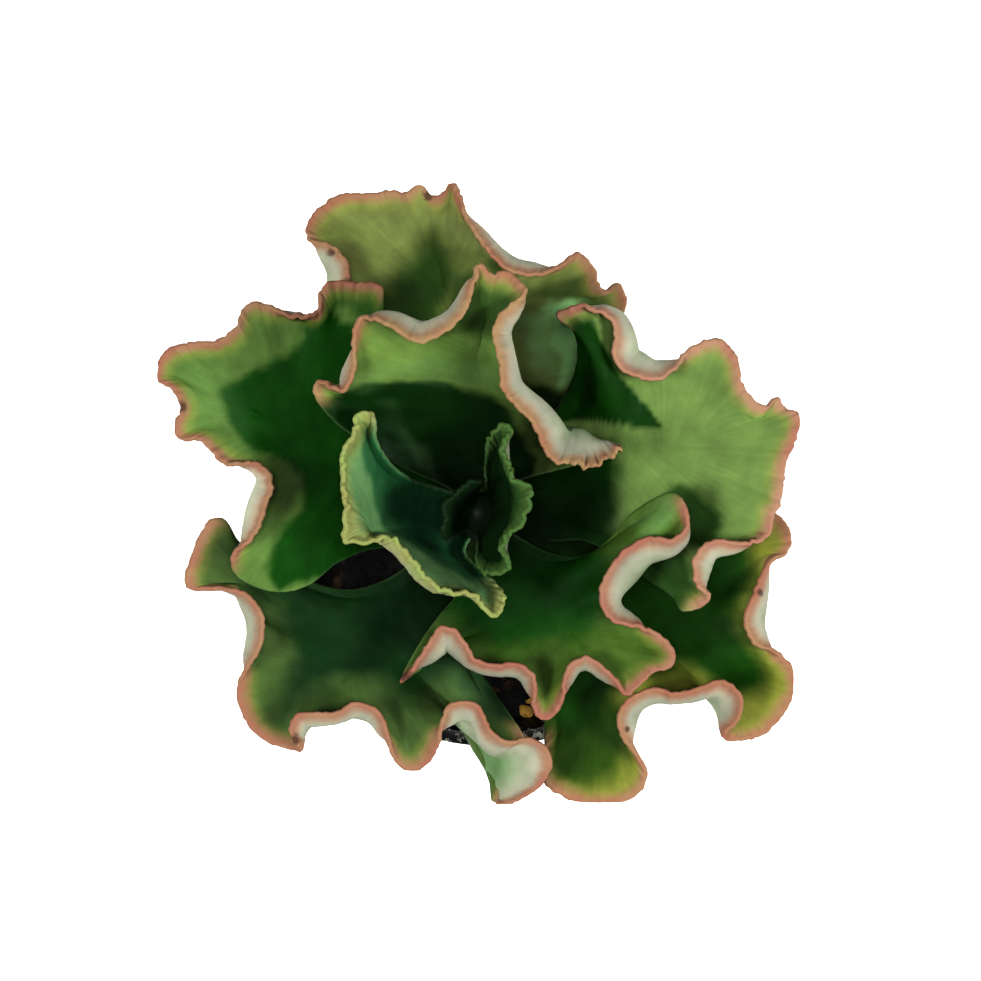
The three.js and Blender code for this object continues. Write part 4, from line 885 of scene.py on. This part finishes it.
def held_in(places):
    """The points, with any that come close to the object's outline eased back inside it."""
    low, high = np.array(cad_box[0]) / MM, np.array(cad_box[1]) / MM
    past = np.maximum(places - high + OUTLINE_ROOM, 0)
    short = np.maximum(low - places + OUTLINE_ROOM, 0)
    places = np.where(past > 0, high - OUTLINE_ROOM * np.exp(-past / OUTLINE_ROOM), places)
    return np.where(short > 0, low + OUTLINE_ROOM * np.exp(-short / OUTLINE_ROOM), places)


def strip(upper, lower):
    """The quads between two rows of points."""
    return np.stack([upper[:-1], lower[:-1], lower[1:], upper[1:]], axis=1)


def leaf_blade(leaf, seed):
    """The mesh of a blade: its wall, its rounded edge, and the measures that its skin is coloured by."""
    margin = leaf_margin(leaf)
    tip_share = margin["tip_share"]
    ray_share = np.concatenate([
        tip_share * RAYS_OUT[:HALF_RAYS + 1] ** leaf["crowd"][0],
        1 - (1 - tip_share) * RAYS_OUT[HALF_RAYS + 1:] ** leaf["crowd"][1]])
    along = ray_share * margin["length"]
    surface = leaf_surface(leaf, margin, ray_share)
    draw_taut(surface)
    count, steps = surface.shape[:2]
    inward = np.linalg.norm(np.diff(surface, axis=1), axis=2)
    edge_mm = np.concatenate([np.cumsum(inward[:, ::-1], axis=1)[:, ::-1], np.zeros((count, 1))], axis=1)
    first, last = leaf["lined"]
    lined = between(along, margin["left_spots"][first], margin["right_spots"][last], LINED_FADES)
    frill = leaf["frill"] * (PLAIN_FRILL + (1 - PLAIN_FRILL) * lined)
    if "crimped" in leaf:
        first, last, crimp = leaf["crimped"]
        spots = margin["right_spots"]
        frill = frill + crimp * between(along, spots[first], spots[last], CRIMPED_FADES)
    surface = ruffled(surface, edge_mm, along, frill, leaf.get("lip", 0) * lined, seed)

    # The blade's two halves share the points of their midrib.
    index = np.arange(count * steps).reshape(count, steps)
    index[HALF_RAYS + 1:, 0] = index[HALF_RAYS - 1::-1, 0]
    used, index = np.unique(index, return_inverse=True)
    index = index.reshape(count, steps)
    quads = np.stack([index[:-1, :-1], index[1:, :-1], index[1:, 1:], index[:-1, 1:]], axis=-1)
    quads = quads.reshape(-1, 4)
    points = surface.reshape(-1, 3)[used]
    normals = upward(points, quads)
    edge_mm = edge_mm.reshape(-1)[used]
    along_mm = np.repeat(along, steps)[used]

    thick_share = HEART_THICK_SHARE if leaf["slope"] > STEEP_SLOPE else 1
    rib_thick = thick_share * (NECK_THICK + (RIB_END_THICK - NECK_THICK) * RAYS_OUT)[:, None]
    thickness = rib_thick + (EDGE_THICK - rib_thick) * STEPS[None, :] ** THINNING
    thickness = thickness.reshape(-1, 1)[used]
    swell = SWELL_HEIGHT * unevenness(points, SWELL_LENGTH, seed)
    swell = swell * soft_step(edge_mm, *SWELL_FADES)[:, None]
    swell = swell + RIPPLE_HEIGHT * unevenness(points, RIPPLE_LENGTH, -seed)
    top = points + normals * (0.5 * thickness + swell)
    bottom = points + normals * (-0.5 * thickness + LOWER_SHARE * swell)

    last = index[:, -1]
    outmost = unit(points[last] - points[index[:, -3]])
    outmost = unit(outmost - (outmost * normals[last]).sum(axis=1, keepdims=True) * normals[last])
    rim = [points[last] + 0.5 * EDGE_THICK * (math.sin(turn) * outmost + math.cos(turn) * normals[last])
           for turn in map(math.radians, RIM_TURNS)]
    size = len(points)
    places = held_in(np.concatenate([top, bottom] + rim))
    rim_rows = [2 * size + row * count + np.arange(count) for row in range(len(RIM_TURNS))]
    around_edge = [last] + rim_rows + [size + last]
    faces = [quads, size + quads[:, ::-1]]
    for upper, lower in zip(around_edge, around_edge[1:]):
        faces.append(strip(upper, lower)[:, ::-1])
    faces.append(strip(index[0], size + index[0]))
    faces.append(strip(index[-1], size + index[-1])[:, ::-1])
    faces = [face for block in faces for face in block.tolist()]
    faces.append([int(row[0]) for row in around_edge[::-1]])
    faces.append([int(row[-1]) for row in around_edge])
    mesh = bpy.data.meshes.new(leaf["name"])
    mesh.from_pydata((places * MM).tolist(), [], faces)
    measures = {
        "edge_mm": np.concatenate([edge_mm, edge_mm, np.zeros(3 * count)]),
        "along_mm": np.concatenate([along_mm, along_mm, along, along, along]),
        "under": np.concatenate([np.zeros(size), np.ones(size), np.repeat(RIM_UNDER, count)]),
        "lined": np.concatenate([np.tile(np.repeat(lined, steps)[used], 2), np.tile(lined, 3)]),
    }
    for name, values in measures.items():
        mesh.attributes.new(name, "FLOAT", "POINT").data.foreach_set("value", values.astype(np.float32))
    mesh.shade_smooth()
    mesh.update()
    return mesh


# The skins. A living leaf is a waxy green cuticle over watery flesh. Each leaf has its own green, and a
# deep green is painted where other leaves cast their shadow on it, as painted shade. A blue-grey bloom of
# wax lies in places, with painted light in some of them, the underside is pale, and strong light has burnt
# the edge itself coral.
SKINS = {
    # name: own green, painted shadow green, colour and width in millimetres of the edge line, how far the
    # margin is sunned and how much shade is painted round the stem (0 to 1), how pale the underside is (1 is
    # common; set leaf by leaf, partly as painted light and shade)
    "leaf_north_outer": ("#5f673a", "#0f2c02", "#806750", 0.9, 1, 1),
    "leaf_southeast_outer": ("#6b702f", "#113603", "#826750", 1.0, 1, 0.9),
    "leaf_southwest_outer": ("#42552c", "#0c2a0e", "#826752", 1.0, 1, 0.95),
    "leaf_west": ("#4f6634", "#0b3c02", "#806550", 0.75, 1, 1.1),
    "leaf_east": ("#5a6e3d", "#0a3202", "#886c59", 0.9, 1, 1.0),
    "leaf_south": ("#405622", "#0c3a04", "#826352", 0.8, 1, 0.85),
    "leaf_north_inner": ("#566b37", "#092a05", "#806d51", 0.85, 1, 0.88),
    "leaf_west_inner": ("#5a7a52", "#205030", "#75824f", 1.9, 0.5, 1),
    "leaf_east_inner": ("#2e4a22", "#0c260a", "#40582e", 1.0, 0, 0.6),
    # The heart leaf's greens and edge are nearly black, as painted shade for the deep heart of the rosette.
    "heart_leaf_west": ("#0d220d", "#061606", "#0e240d", 0.6, 0, 0.5),
}

# The painted shadows: the areas where neighbouring leaves cast shadow on a blade, coloured its painted
# shadow green. Then the areas where the bloom is thick, some of them painted light on parts that lie in
# shadow. Both are seen from above: the corners of each area in millimetres, then the width of its soft
# border, then its strength.
PAINTED_SHADOWS = {
    "leaf_north_outer": [
        ([(-17, 63), (-13, 67), (-9, 63), (-6, 58), (-8, 51), (-12, 44), (-32, 44), (-33, 50), (-27, 55),
          (-21, 58)], 9, 0.92),
        ([(-10, 60), (-3, 58), (4, 54), (-2, 47), (-12, 48)], 6, 0.8),
        ([(-2, 62), (2, 56), (9, 54), (21, 57.5), (25, 53), (28, 50), (24, 47), (18, 52), (9, 52)], 3, 0.7),
        ([(6, 33), (20, 31), (20, 10), (-10, 10), (-22, 30), (-10, 40)], 3, 1),
    ],
    "leaf_southeast_outer": [
        ([(-6, 8), (40, 10), (58, -2), (60, -10), (57, -15), (57, -22), (60, -28), (62, -34), (56, -38),
          (44, -31), (32, -32), (28, -36), (26, -44), (18, -50), (13, -46), (10, -36), (0, -10)], 7, 1),
        ([(10, -35), (28, -35), (32, -47), (29, -56), (20, -60), (11, -58)], 6, 0.9),
        ([(6, 6), (30, 6), (34, -4), (24, -12), (8, -12)], 4, 1),
    ],
    "leaf_southwest_outer": [
        ([(-56, -11), (-48, -18), (-45, -28), (-48, -36), (-47, -43), (-41, -38), (-34, -34), (-26, -34),
          (-22, -38), (-18, -40), (-13, -36), (-8, -34), (0, -43), (6, -44), (2, -30), (-4, -8), (-20, -8),
          (-36, -10)], 9, 1),
        ([(-61, -2), (-58, -8), (-52, -13), (-48, -10), (-56, -2)], 3, 0.6),
    ],
    "leaf_west": [
        ([(-41, 50), (-41.5, 43), (-45, 38), (-54, 34.5), (-59, 31), (-57.5, 24), (-53, 18), (-47, 15),
          (-42, 12), (-42, 5), (-47, 1), (-50, -8), (-47, -13), (-36, -10), (-20, -4), (-4, 4), (-8, 20),
          (-20, 42), (-30, 46), (-37, 50)], 2.5, 1),
        ([(-38, 56), (-22, 56), (-22, 44), (-38, 50)], 3, 0.7),
    ],
    "leaf_east": [
        ([(17, 47), (22.5, 46), (24.5, 41), (26.5, 36.5), (39.5, 22.3), (30, 23.3), (22, 24.3), (10, 25),
          (12, 34)], 1.2, 1),
        ([(4, 22), (12, 22), (28, 20), (29, 10), (27, 0), (30, -8), (20, -10), (0, -4)], 4, 1),
        ([(27, -14), (30, -5), (38, 0.5), (44, -3), (43, -10), (46, -14), (41, -18), (34, -12)], 3, 0.85),
        ([(40, 10), (46, 9.5), (50.5, 4), (50, -2), (44, -4), (38, 2)], 3, 0.85),
    ],
    "leaf_south": [
        ([(-8, -6), (8, 4), (24, -3), (28, -10), (25, -20), (20, -24), (10, -25), (4, -27), (-4, -24),
          (-12, -18)], 8, 1),
    ],
    "leaf_north_inner": [
        ([(-38, 28), (-32, 30), (-26.6, 31.5), (-19, 32.4), (-9.5, 31.6), (0, 29.6), (4, 25.5), (7, 20),
          (10, 16), (8, 6), (-4, 2), (-14, 4), (-24, 10), (-36, 22)], 1.8, 1),
        ([(-12, 42), (-2, 40), (0, 33), (-14, 34)], 5, 0.35),
        ([(-3, 53), (1, 52), (5, 47), (3, 42), (-4, 41), (-9, 44)], 5, 0.7),
    ],
    "leaf_west_inner": [
        ([(-28.6, 24), (-26.8, 14), (-23.5, 1), (-16, -4), (-5, -11), (2, -9), (0, 10), (-12, 24)], 1.5, 1),
    ],
    "leaf_east_inner": [
        ([(-4, -8), (2, -7), (4.5, 0), (5, 8), (2.5, 16), (0, 22), (-4, 20)], 1.5, 1),
    ],
}
# The bloom areas. Those marked below as painted light brighten a part that lies in shadow.
BLOOM_AND_PAINTED_LIGHT = {
    "leaf_north_outer": [
        # Painted light: these two areas brighten a part in the shadow of the leaves above it.
        ([(13, 50), (19, 50), (21, 36), (16, 33)], 4, 1.5),
        ([(7, 48), (14, 50), (16, 34), (10, 37)], 5, 0.7),
    ],
    "leaf_southwest_outer": [([(-14, -30), (-4, -28), (1, -40), (-6, -38)], 4, 0.1)],
    "leaf_west": [([(-70, 38), (-60, 37), (-55, 26), (-51, 16), (-58, 18), (-66, 28)], 5, 0.06)],
    "leaf_south": [([(31, 2), (38, 8), (41, 7), (41, 2), (34, -2)], 2.5, 0.22)],
    "leaf_north_inner": [
        ([(-32, 32), (-20, 37), (-8, 37.5), (4, 34), (5, 29), (-8, 32.8), (-20, 33), (-30, 30)], 3, 0.1),
        ([(-24, 28), (-21, 28), (-11, 12), (-12, 10), (-17, 17), (-22, 23)], 2.5, 0.06),
    ],
    "leaf_west_inner": [
        ([(-32, 24), (-26, 20), (-22, 2), (-4, -8), (-4, -20), (-34, -6)], 3, 0.07),
        # Painted light: this area brightens the leaf's end, which lies in shadow.
        ([(-3, -13), (3, -10), (8, -16), (6, -24), (0, -22)], 3, 0.8),
    ],
}

# Small corky scars where the skin was torn, as (x, y, radius) in millimetres.
SCARS = {
    "leaf_north_outer": [(-35.5, 62, 1.0), (-14, 75, 1.2)],
    "leaf_southeast_outer": [(59.8, -13.5, 0.9), (30.5, -44, 0.7)],
    "leaf_southwest_outer": [(-43.5, -46.5, 1.4)],
    "leaf_west": [(-68, 27.6, 1.2)],
    "leaf_south": [(-18.8, -32, 1.6)],
}

# Real sizes in the skin, in millimetres: how far the green drifts, the gap between veins and how far one
# runs before it fades, a patch where the bloom is rubbed, the tatters and the redder stretches of the
# burnt line, how deep light goes into the flesh, and the cells, drawn far coarser than they are. The
# border of an area wanders by up to a share of its own width.
DRIFT = 6
VEIN_GAP = 1.9
VEIN_RUN = 16
RUBBED_PATCH = 4
RAGGED = 1.4
RED_STRETCH = 11
FLESH_DEPTH = 1.2
CELLS = 0.7
WANDER_SHARE = 0.3


def area_mask(points, areas, wander):
    """How far inside the given areas each point lies, from 0 to 1, seen from above."""
    mask = np.zeros(len(points))
    for corners, soft, strength in areas:
        inside = np.zeros(len(points), dtype=bool)
        away = np.full(len(points), np.inf)
        corners = np.array(corners, dtype=float)
        for start, end in zip(corners, np.roll(corners, -1, axis=0)):
            span = end - start
            off = points[:, :2] - start
            share = np.clip(off @ span / (span @ span), 0, 1)
            away = np.minimum(away, np.linalg.norm(off - share[:, None] * span, axis=1))
            if start[1] != end[1]:
                crossed = (points[:, 1] < start[1]) != (points[:, 1] < end[1])
                inside ^= crossed & (off[:, 0] < off[:, 1] * span[0] / span[1])
        away = np.where(inside, -away, away) + min(1.0, WANDER_SHARE * soft) * wander
        mask = np.maximum(mask, strength * (1 - soft_step(away, -0.5 * soft, 0.5 * soft)))
    return mask


def upper_face(tree, place, marks, lit, shadow_green, sun_colour_and_heart_shade):
    """The greens of the upper face, its own and the painted shadow green, and with them the drift of the
    green, its tone and the veins.
    """
    edge, lined = marks["edge_mm"], marks["lined"]

    # Where other leaves cast shadow, the painted shadow green is mixed in. The green drifts a little over a
    # few millimetres, and a margin up to 5 mm wide is yellower.
    face = add(tree, "ShaderNodeMix", {"Factor": marks["painted_shadow"], "A": linear(lit), "B": linear(shadow_green)},
               data_type="RGBA").outputs["Result"]
    margin = add(tree, "ShaderNodeMapRange", {"Value": edge, "From Min": 5.0, "From Max": 1.5,
                                              "To Max": 0.45 * sun_colour_and_heart_shade},
                 interpolation_type="SMOOTHSTEP").outputs[0]
    margin = add(tree, "ShaderNodeMath", {0: margin, 1: lined}, operation="MULTIPLY").outputs[0]
    face = add(tree, "ShaderNodeMix", {"Factor": margin, "A": face, "B": linear("#7a7a40")},
               data_type="RGBA").outputs["Result"]
    drift = add(tree, "ShaderNodeTexNoise", {"Vector": place, "Scale": 1 / (DRIFT * MM),
                                             "Detail": 5.0}).outputs[0]
    tone = add(tree, "ShaderNodeMapRange", {"Value": drift, "From Min": 0.3, "From Max": 0.7, "To Min": 0.82,
                                            "To Max": 1.16}).outputs[0]
    face = add(tree, "ShaderNodeVectorMath", {0: face, "Scale": tone}, operation="SCALE").outputs[0]

    # Faint veins run from the midrib out to the margin.
    across = add(tree, "ShaderNodeMath", {0: marks["along_mm"], 1: 1 / VEIN_GAP},
                 operation="MULTIPLY").outputs[0]
    outward = add(tree, "ShaderNodeMath", {0: edge, 1: 1 / VEIN_RUN}, operation="MULTIPLY").outputs[0]
    vein_place = add(tree, "ShaderNodeCombineXYZ", {"X": across, "Y": outward}).outputs[0]
    veins = add(tree, "ShaderNodeTexNoise", {"Vector": vein_place, "Scale": 1.0, "Detail": 3.0,
                                             "Distortion": 0.4}).outputs[0]
    vein_share = add(tree, "ShaderNodeMapRange", {"Value": veins, "From Min": 0.35, "From Max": 0.7,
                                                  "To Min": 0.93, "To Max": 1.05}).outputs[0]
    face = add(tree, "ShaderNodeVectorMath", {0: face, "Scale": vein_share}, operation="SCALE").outputs[0]
    return face, drift, tone, veins


def underside(tree, marks, drift, tone, sun_colour_and_heart_shade, pale):
    """The pale waxy back, flushed coral in blotches near a burnt edge, and darker grey-green further in,
    partly as painted shade where the roll turns away from the light.
    """
    edge, lined = marks["edge_mm"], marks["lined"]
    # Painted shade: on lined stretches the back is pale within 4 mm of the edge and darkens to grey-green by
    # 12 mm in; elsewhere it is grey-green.
    inward = add(tree, "ShaderNodeMapRange", {"Value": edge, "From Min": 4.0, "From Max": 12.0, "To Min": 1,
                                              "To Max": 0}).outputs[0]
    waxy = add(tree, "ShaderNodeMath", {0: inward, 1: lined}, operation="MULTIPLY").outputs[0]
    back = add(tree, "ShaderNodeMix", {"Factor": waxy, "A": linear("#5c7650"), "B": linear("#8b8c7c")},
               data_type="RGBA").outputs["Result"]
    blotch = add(tree, "ShaderNodeMath", {0: drift, 1: -5.0, 2: edge}, operation="MULTIPLY_ADD").outputs[0]
    flush = add(tree, "ShaderNodeMapRange", {"Value": blotch, "From Min": 0.8, "From Max": -2.2,
                                             "To Max": 0.65 * sun_colour_and_heart_shade}).outputs[0]
    flush = add(tree, "ShaderNodeMath", {0: flush, 1: lined}, operation="MULTIPLY").outputs[0]
    back = add(tree, "ShaderNodeMix", {"Factor": flush, "A": back, "B": linear("#8a6a56")},
               data_type="RGBA").outputs["Result"]
    paler = add(tree, "ShaderNodeMath", {0: tone, 1: pale}, operation="MULTIPLY").outputs[0]
    return add(tree, "ShaderNodeVectorMath", {0: back, "Scale": paler}, operation="SCALE").outputs[0]


def burnt_line(tree, place, marks, face, drift, edge_colour, edge_width, sun_colour_and_heart_shade):
    """The face with the burnt line along its edge: ragged, uneven in width, and redder in stretches."""
    ragged = add(tree, "ShaderNodeTexNoise", {"Vector": place, "Scale": 1 / (RAGGED * MM),
                                              "Detail": 4.0}).outputs[0]
    uneven = marks["edge_mm"]
    for cause, share in ((ragged, -1.8), (drift, -1.6), (marks["under"], 0.5)):
        uneven = add(tree, "ShaderNodeMath", {0: cause, 1: share * edge_width, 2: uneven},
                     operation="MULTIPLY_ADD").outputs[0]
    burnt = add(tree, "ShaderNodeMapRange", {"Value": uneven, "From Min": 1.3 * edge_width,
                                             "From Max": -1.1 * edge_width, "To Max": 0.97}).outputs[0]
    burnt = add(tree, "ShaderNodeMath", {0: burnt, 1: marks["lined"]}, operation="MULTIPLY").outputs[0]
    stretches = add(tree, "ShaderNodeTexNoise", {"Vector": place, "Scale": 1 / (RED_STRETCH * MM),
                                                 "Detail": 6.0, "Roughness": 0.65}).outputs[0]
    ruddy = add(tree, "ShaderNodeMapRange", {"Value": stretches, "From Min": 0.42, "From Max": 0.6,
                                             "To Max": 0.45 * sun_colour_and_heart_shade}).outputs[0]
    line = add(tree, "ShaderNodeMix", {"Factor": ruddy, "A": linear(edge_colour), "B": linear("#7c4640")},
               data_type="RGBA").outputs["Result"]
    face = add(tree, "ShaderNodeMix", {"Factor": burnt, "A": face, "B": line},
               data_type="RGBA").outputs["Result"]
    return face, ragged


def leaf_skin(name, scars, lit, shadow_green, edge_colour, edge_width, sun_colour_and_heart_shade, pale):
    """The skin of one leaf: its own green and its painted shadow green, its underside, its edge line and its
    scars.
    """
    material, tree, shader = new_material(name)
    place = add(tree, "ShaderNodeTexCoord").outputs["Object"]
    marks = {measure: add(tree, "ShaderNodeAttribute", attribute_name=measure).outputs["Fac"]
             for measure in ("edge_mm", "along_mm", "under", "lined", "painted_shadow", "bloom_and_light")}
    face, drift, tone, veins = upper_face(tree, place, marks, lit, shadow_green, sun_colour_and_heart_shade)

    # Painted shade: close round the stem, where the heart of the rosette lies in shadow, the green is
    # darkened, most at the stem.
    level = add(tree, "ShaderNodeVectorMath", {0: place, 1: (1, 1, 0)}, operation="MULTIPLY").outputs[0]
    off_stem = add(tree, "ShaderNodeVectorMath", {0: level, 1: (STEM_X * MM, STEM_Y * MM, 0)},
                   operation="DISTANCE").outputs["Value"]
    painted_heart_shade = add(tree, "ShaderNodeMapRange", {"Value": off_stem, "From Min": 6 * MM, "From Max": 36 * MM,
                                              "To Min": 1 - 0.78 * sun_colour_and_heart_shade}).outputs[0]
    face = add(tree, "ShaderNodeVectorMath", {0: face, "Scale": painted_heart_shade}, operation="SCALE").outputs[0]

    # The bloom rubs off in soft patches. The same pale colour is painted light where a bloom area lies on a
    # part in shadow.
    patch = add(tree, "ShaderNodeTexNoise", {"Vector": place, "Scale": 1 / (RUBBED_PATCH * MM),
                                             "Detail": 4.0}).outputs[0]
    rubbed = add(tree, "ShaderNodeMapRange", {"Value": patch, "From Min": 0.3, "From Max": 0.6,
                                              "To Min": 0.6}).outputs[0]
    bloom = add(tree, "ShaderNodeMath", {0: rubbed, 1: marks["bloom_and_light"]}, operation="MULTIPLY").outputs[0]
    face = add(tree, "ShaderNodeMix", {"Factor": bloom, "A": face, "B": linear("#7a9f6c")},
               data_type="RGBA").outputs["Result"]
    back = underside(tree, marks, drift, tone, sun_colour_and_heart_shade, pale)
    face = add(tree, "ShaderNodeMix", {"Factor": marks["under"], "A": face, "B": back},
               data_type="RGBA").outputs["Result"]
    face, ragged = burnt_line(tree, place, marks, face, drift, edge_colour, edge_width, sun_colour_and_heart_shade)

    # Scars are brown and corky, with a ragged border.
    for x, y, radius in scars:
        away = add(tree, "ShaderNodeVectorMath", {0: level, 1: (x * MM, y * MM, 0)},
                   operation="DISTANCE").outputs["Value"]
        away = add(tree, "ShaderNodeMath", {0: ragged, 1: 1.6 * radius * MM, 2: away},
                   operation="MULTIPLY_ADD").outputs[0]
        torn = add(tree, "ShaderNodeMapRange", {"Value": away, "From Min": 2.0 * radius * MM,
                                                "From Max": 1.3 * radius * MM, "To Max": 0.7}).outputs[0]
        face = add(tree, "ShaderNodeMix", {"Factor": torn, "A": face, "B": linear("#2b1710")},
                   data_type="RGBA").outputs["Result"]
    tree.links.new(face, shader.inputs["Base Color"])

    # Where the wax is rubbed the skin is glossier. Light goes a little way into the flesh, and the
    # surface is uneven from its veins and the cells under the cuticle.
    gloss = add(tree, "ShaderNodeMapRange", {"Value": patch, "From Min": 0.3, "From Max": 0.7, "To Min": 0.52,
                                             "To Max": 0.7}).outputs[0]
    tree.links.new(gloss, shader.inputs["Roughness"])
    shader.inputs["IOR"].default_value = 1.42
    shader.inputs["Specular IOR Level"].default_value = 0.1
    shader.inputs["Subsurface Weight"].default_value = 0.06
    shader.inputs["Subsurface Radius"].default_value = (0.6, 1.0, 0.25)
    shader.inputs["Subsurface Scale"].default_value = FLESH_DEPTH * MM
    cells = add(tree, "ShaderNodeTexNoise", {"Vector": place, "Scale": 1 / (CELLS * MM),
                                             "Detail": 3.0}).outputs[0]
    uneven = add(tree, "ShaderNodeMath", {0: veins, 1: 0.6, 2: cells}, operation="MULTIPLY_ADD").outputs[0]
    relief = add(tree, "ShaderNodeBump", {"Height": uneven, "Strength": 0.22, "Distance": 0.2 * MM})
    tree.links.new(relief.outputs[0], shader.inputs["Normal"])
    return material


# The borders of the painted shadow areas and of the bloom and painted light areas wander by up to about
# 2 mm, in bends of about 7 mm.
WANDER_LENGTH = 7
WANDER = 2
SEEDS_APART = 11
FIRST_SEED = 3
for number, leaf in enumerate(LEAVES):
    name = leaf["name"]
    blade = bpy.data.objects.new(name + "_blade", leaf_blade(leaf, SEEDS_APART * number + FIRST_SEED))
    scene.collection.objects.link(blade)
    points = np.array([vertex.co for vertex in blade.data.vertices]) / MM
    wander = [noise.fractal(Vector(point / WANDER_LENGTH), 1.0, 2.1, 3) for point in points]
    # Each blade keeps where its shadow is painted and where its bloom and painted light lie.
    for measure, areas in (("painted_shadow", PAINTED_SHADOWS), ("bloom_and_light", BLOOM_AND_PAINTED_LIGHT)):
        mask = area_mask(points, areas.get(name, []), WANDER * np.array(wander))
        values = blade.data.attributes.new(measure, "FLOAT", "POINT").data
        values.foreach_set("value", mask.astype(np.float32))
    blade.data.materials.append(leaf_skin("waxy_skin_" + name, SCARS.get(name, []), *SKINS[name]))
    finish_piece(blade, name)


# The floor is one plain matt white sheet under the pot.
bpy.ops.object.select_all(action="DESELECT")
bpy.ops.mesh.primitive_plane_add(size=8, location=(0, 0, -0.0002))
floor = bpy.context.object
floor.name = "floor"
paper, tree, shader = new_material("matt_white_paper")
shader.inputs["Base Color"].default_value = linear("#fafafa")
shader.inputs["Roughness"].default_value = 0.9
floor.data.materials.append(paper)


# The light. Two wide round lamps stand left and right, high over the plant and a little in front of
# it, a weaker one hangs straight above, and a pale room fills the shadows.
LAMP_DISTANCE = 1.2
LAMPS_AIM = Vector((0, 0, 0.1))
LAMPS = [
    # name, direction and lean from upright in degrees, width in metres, power in watts
    ("left_lamp", 193, 43, 0.45, 21),
    ("right_lamp", -12, 50, 0.45, 24),
    ("top_lamp", 90, 2, 0.35, 8),
]
for name, azimuth, lean, width, power in LAMPS:
    lean = math.radians(lean)
    toward = Vector((*(math.sin(lean) * facing(azimuth)), math.cos(lean)))
    bpy.ops.object.select_all(action="DESELECT")
    bpy.ops.object.light_add(type="AREA", location=LAMPS_AIM + LAMP_DISTANCE * toward,
                             rotation=toward.to_track_quat("Z", "Y").to_euler())
    lamp = bpy.context.object
    lamp.name = name
    lamp.data.shape = "DISK"
    lamp.data.size = width
    lamp.data.energy = power
    lamp.visible_camera = False
world = bpy.data.worlds.new("pale_room")
world.use_nodes = True
world.node_tree.nodes["Background"].inputs["Color"].default_value = (1, 1, 1, 1)
world.node_tree.nodes["Background"].inputs["Strength"].default_value = 0.1
scene.world = world
scene.view_settings.view_transform = "Standard"
scene.view_settings.gamma = 0.75
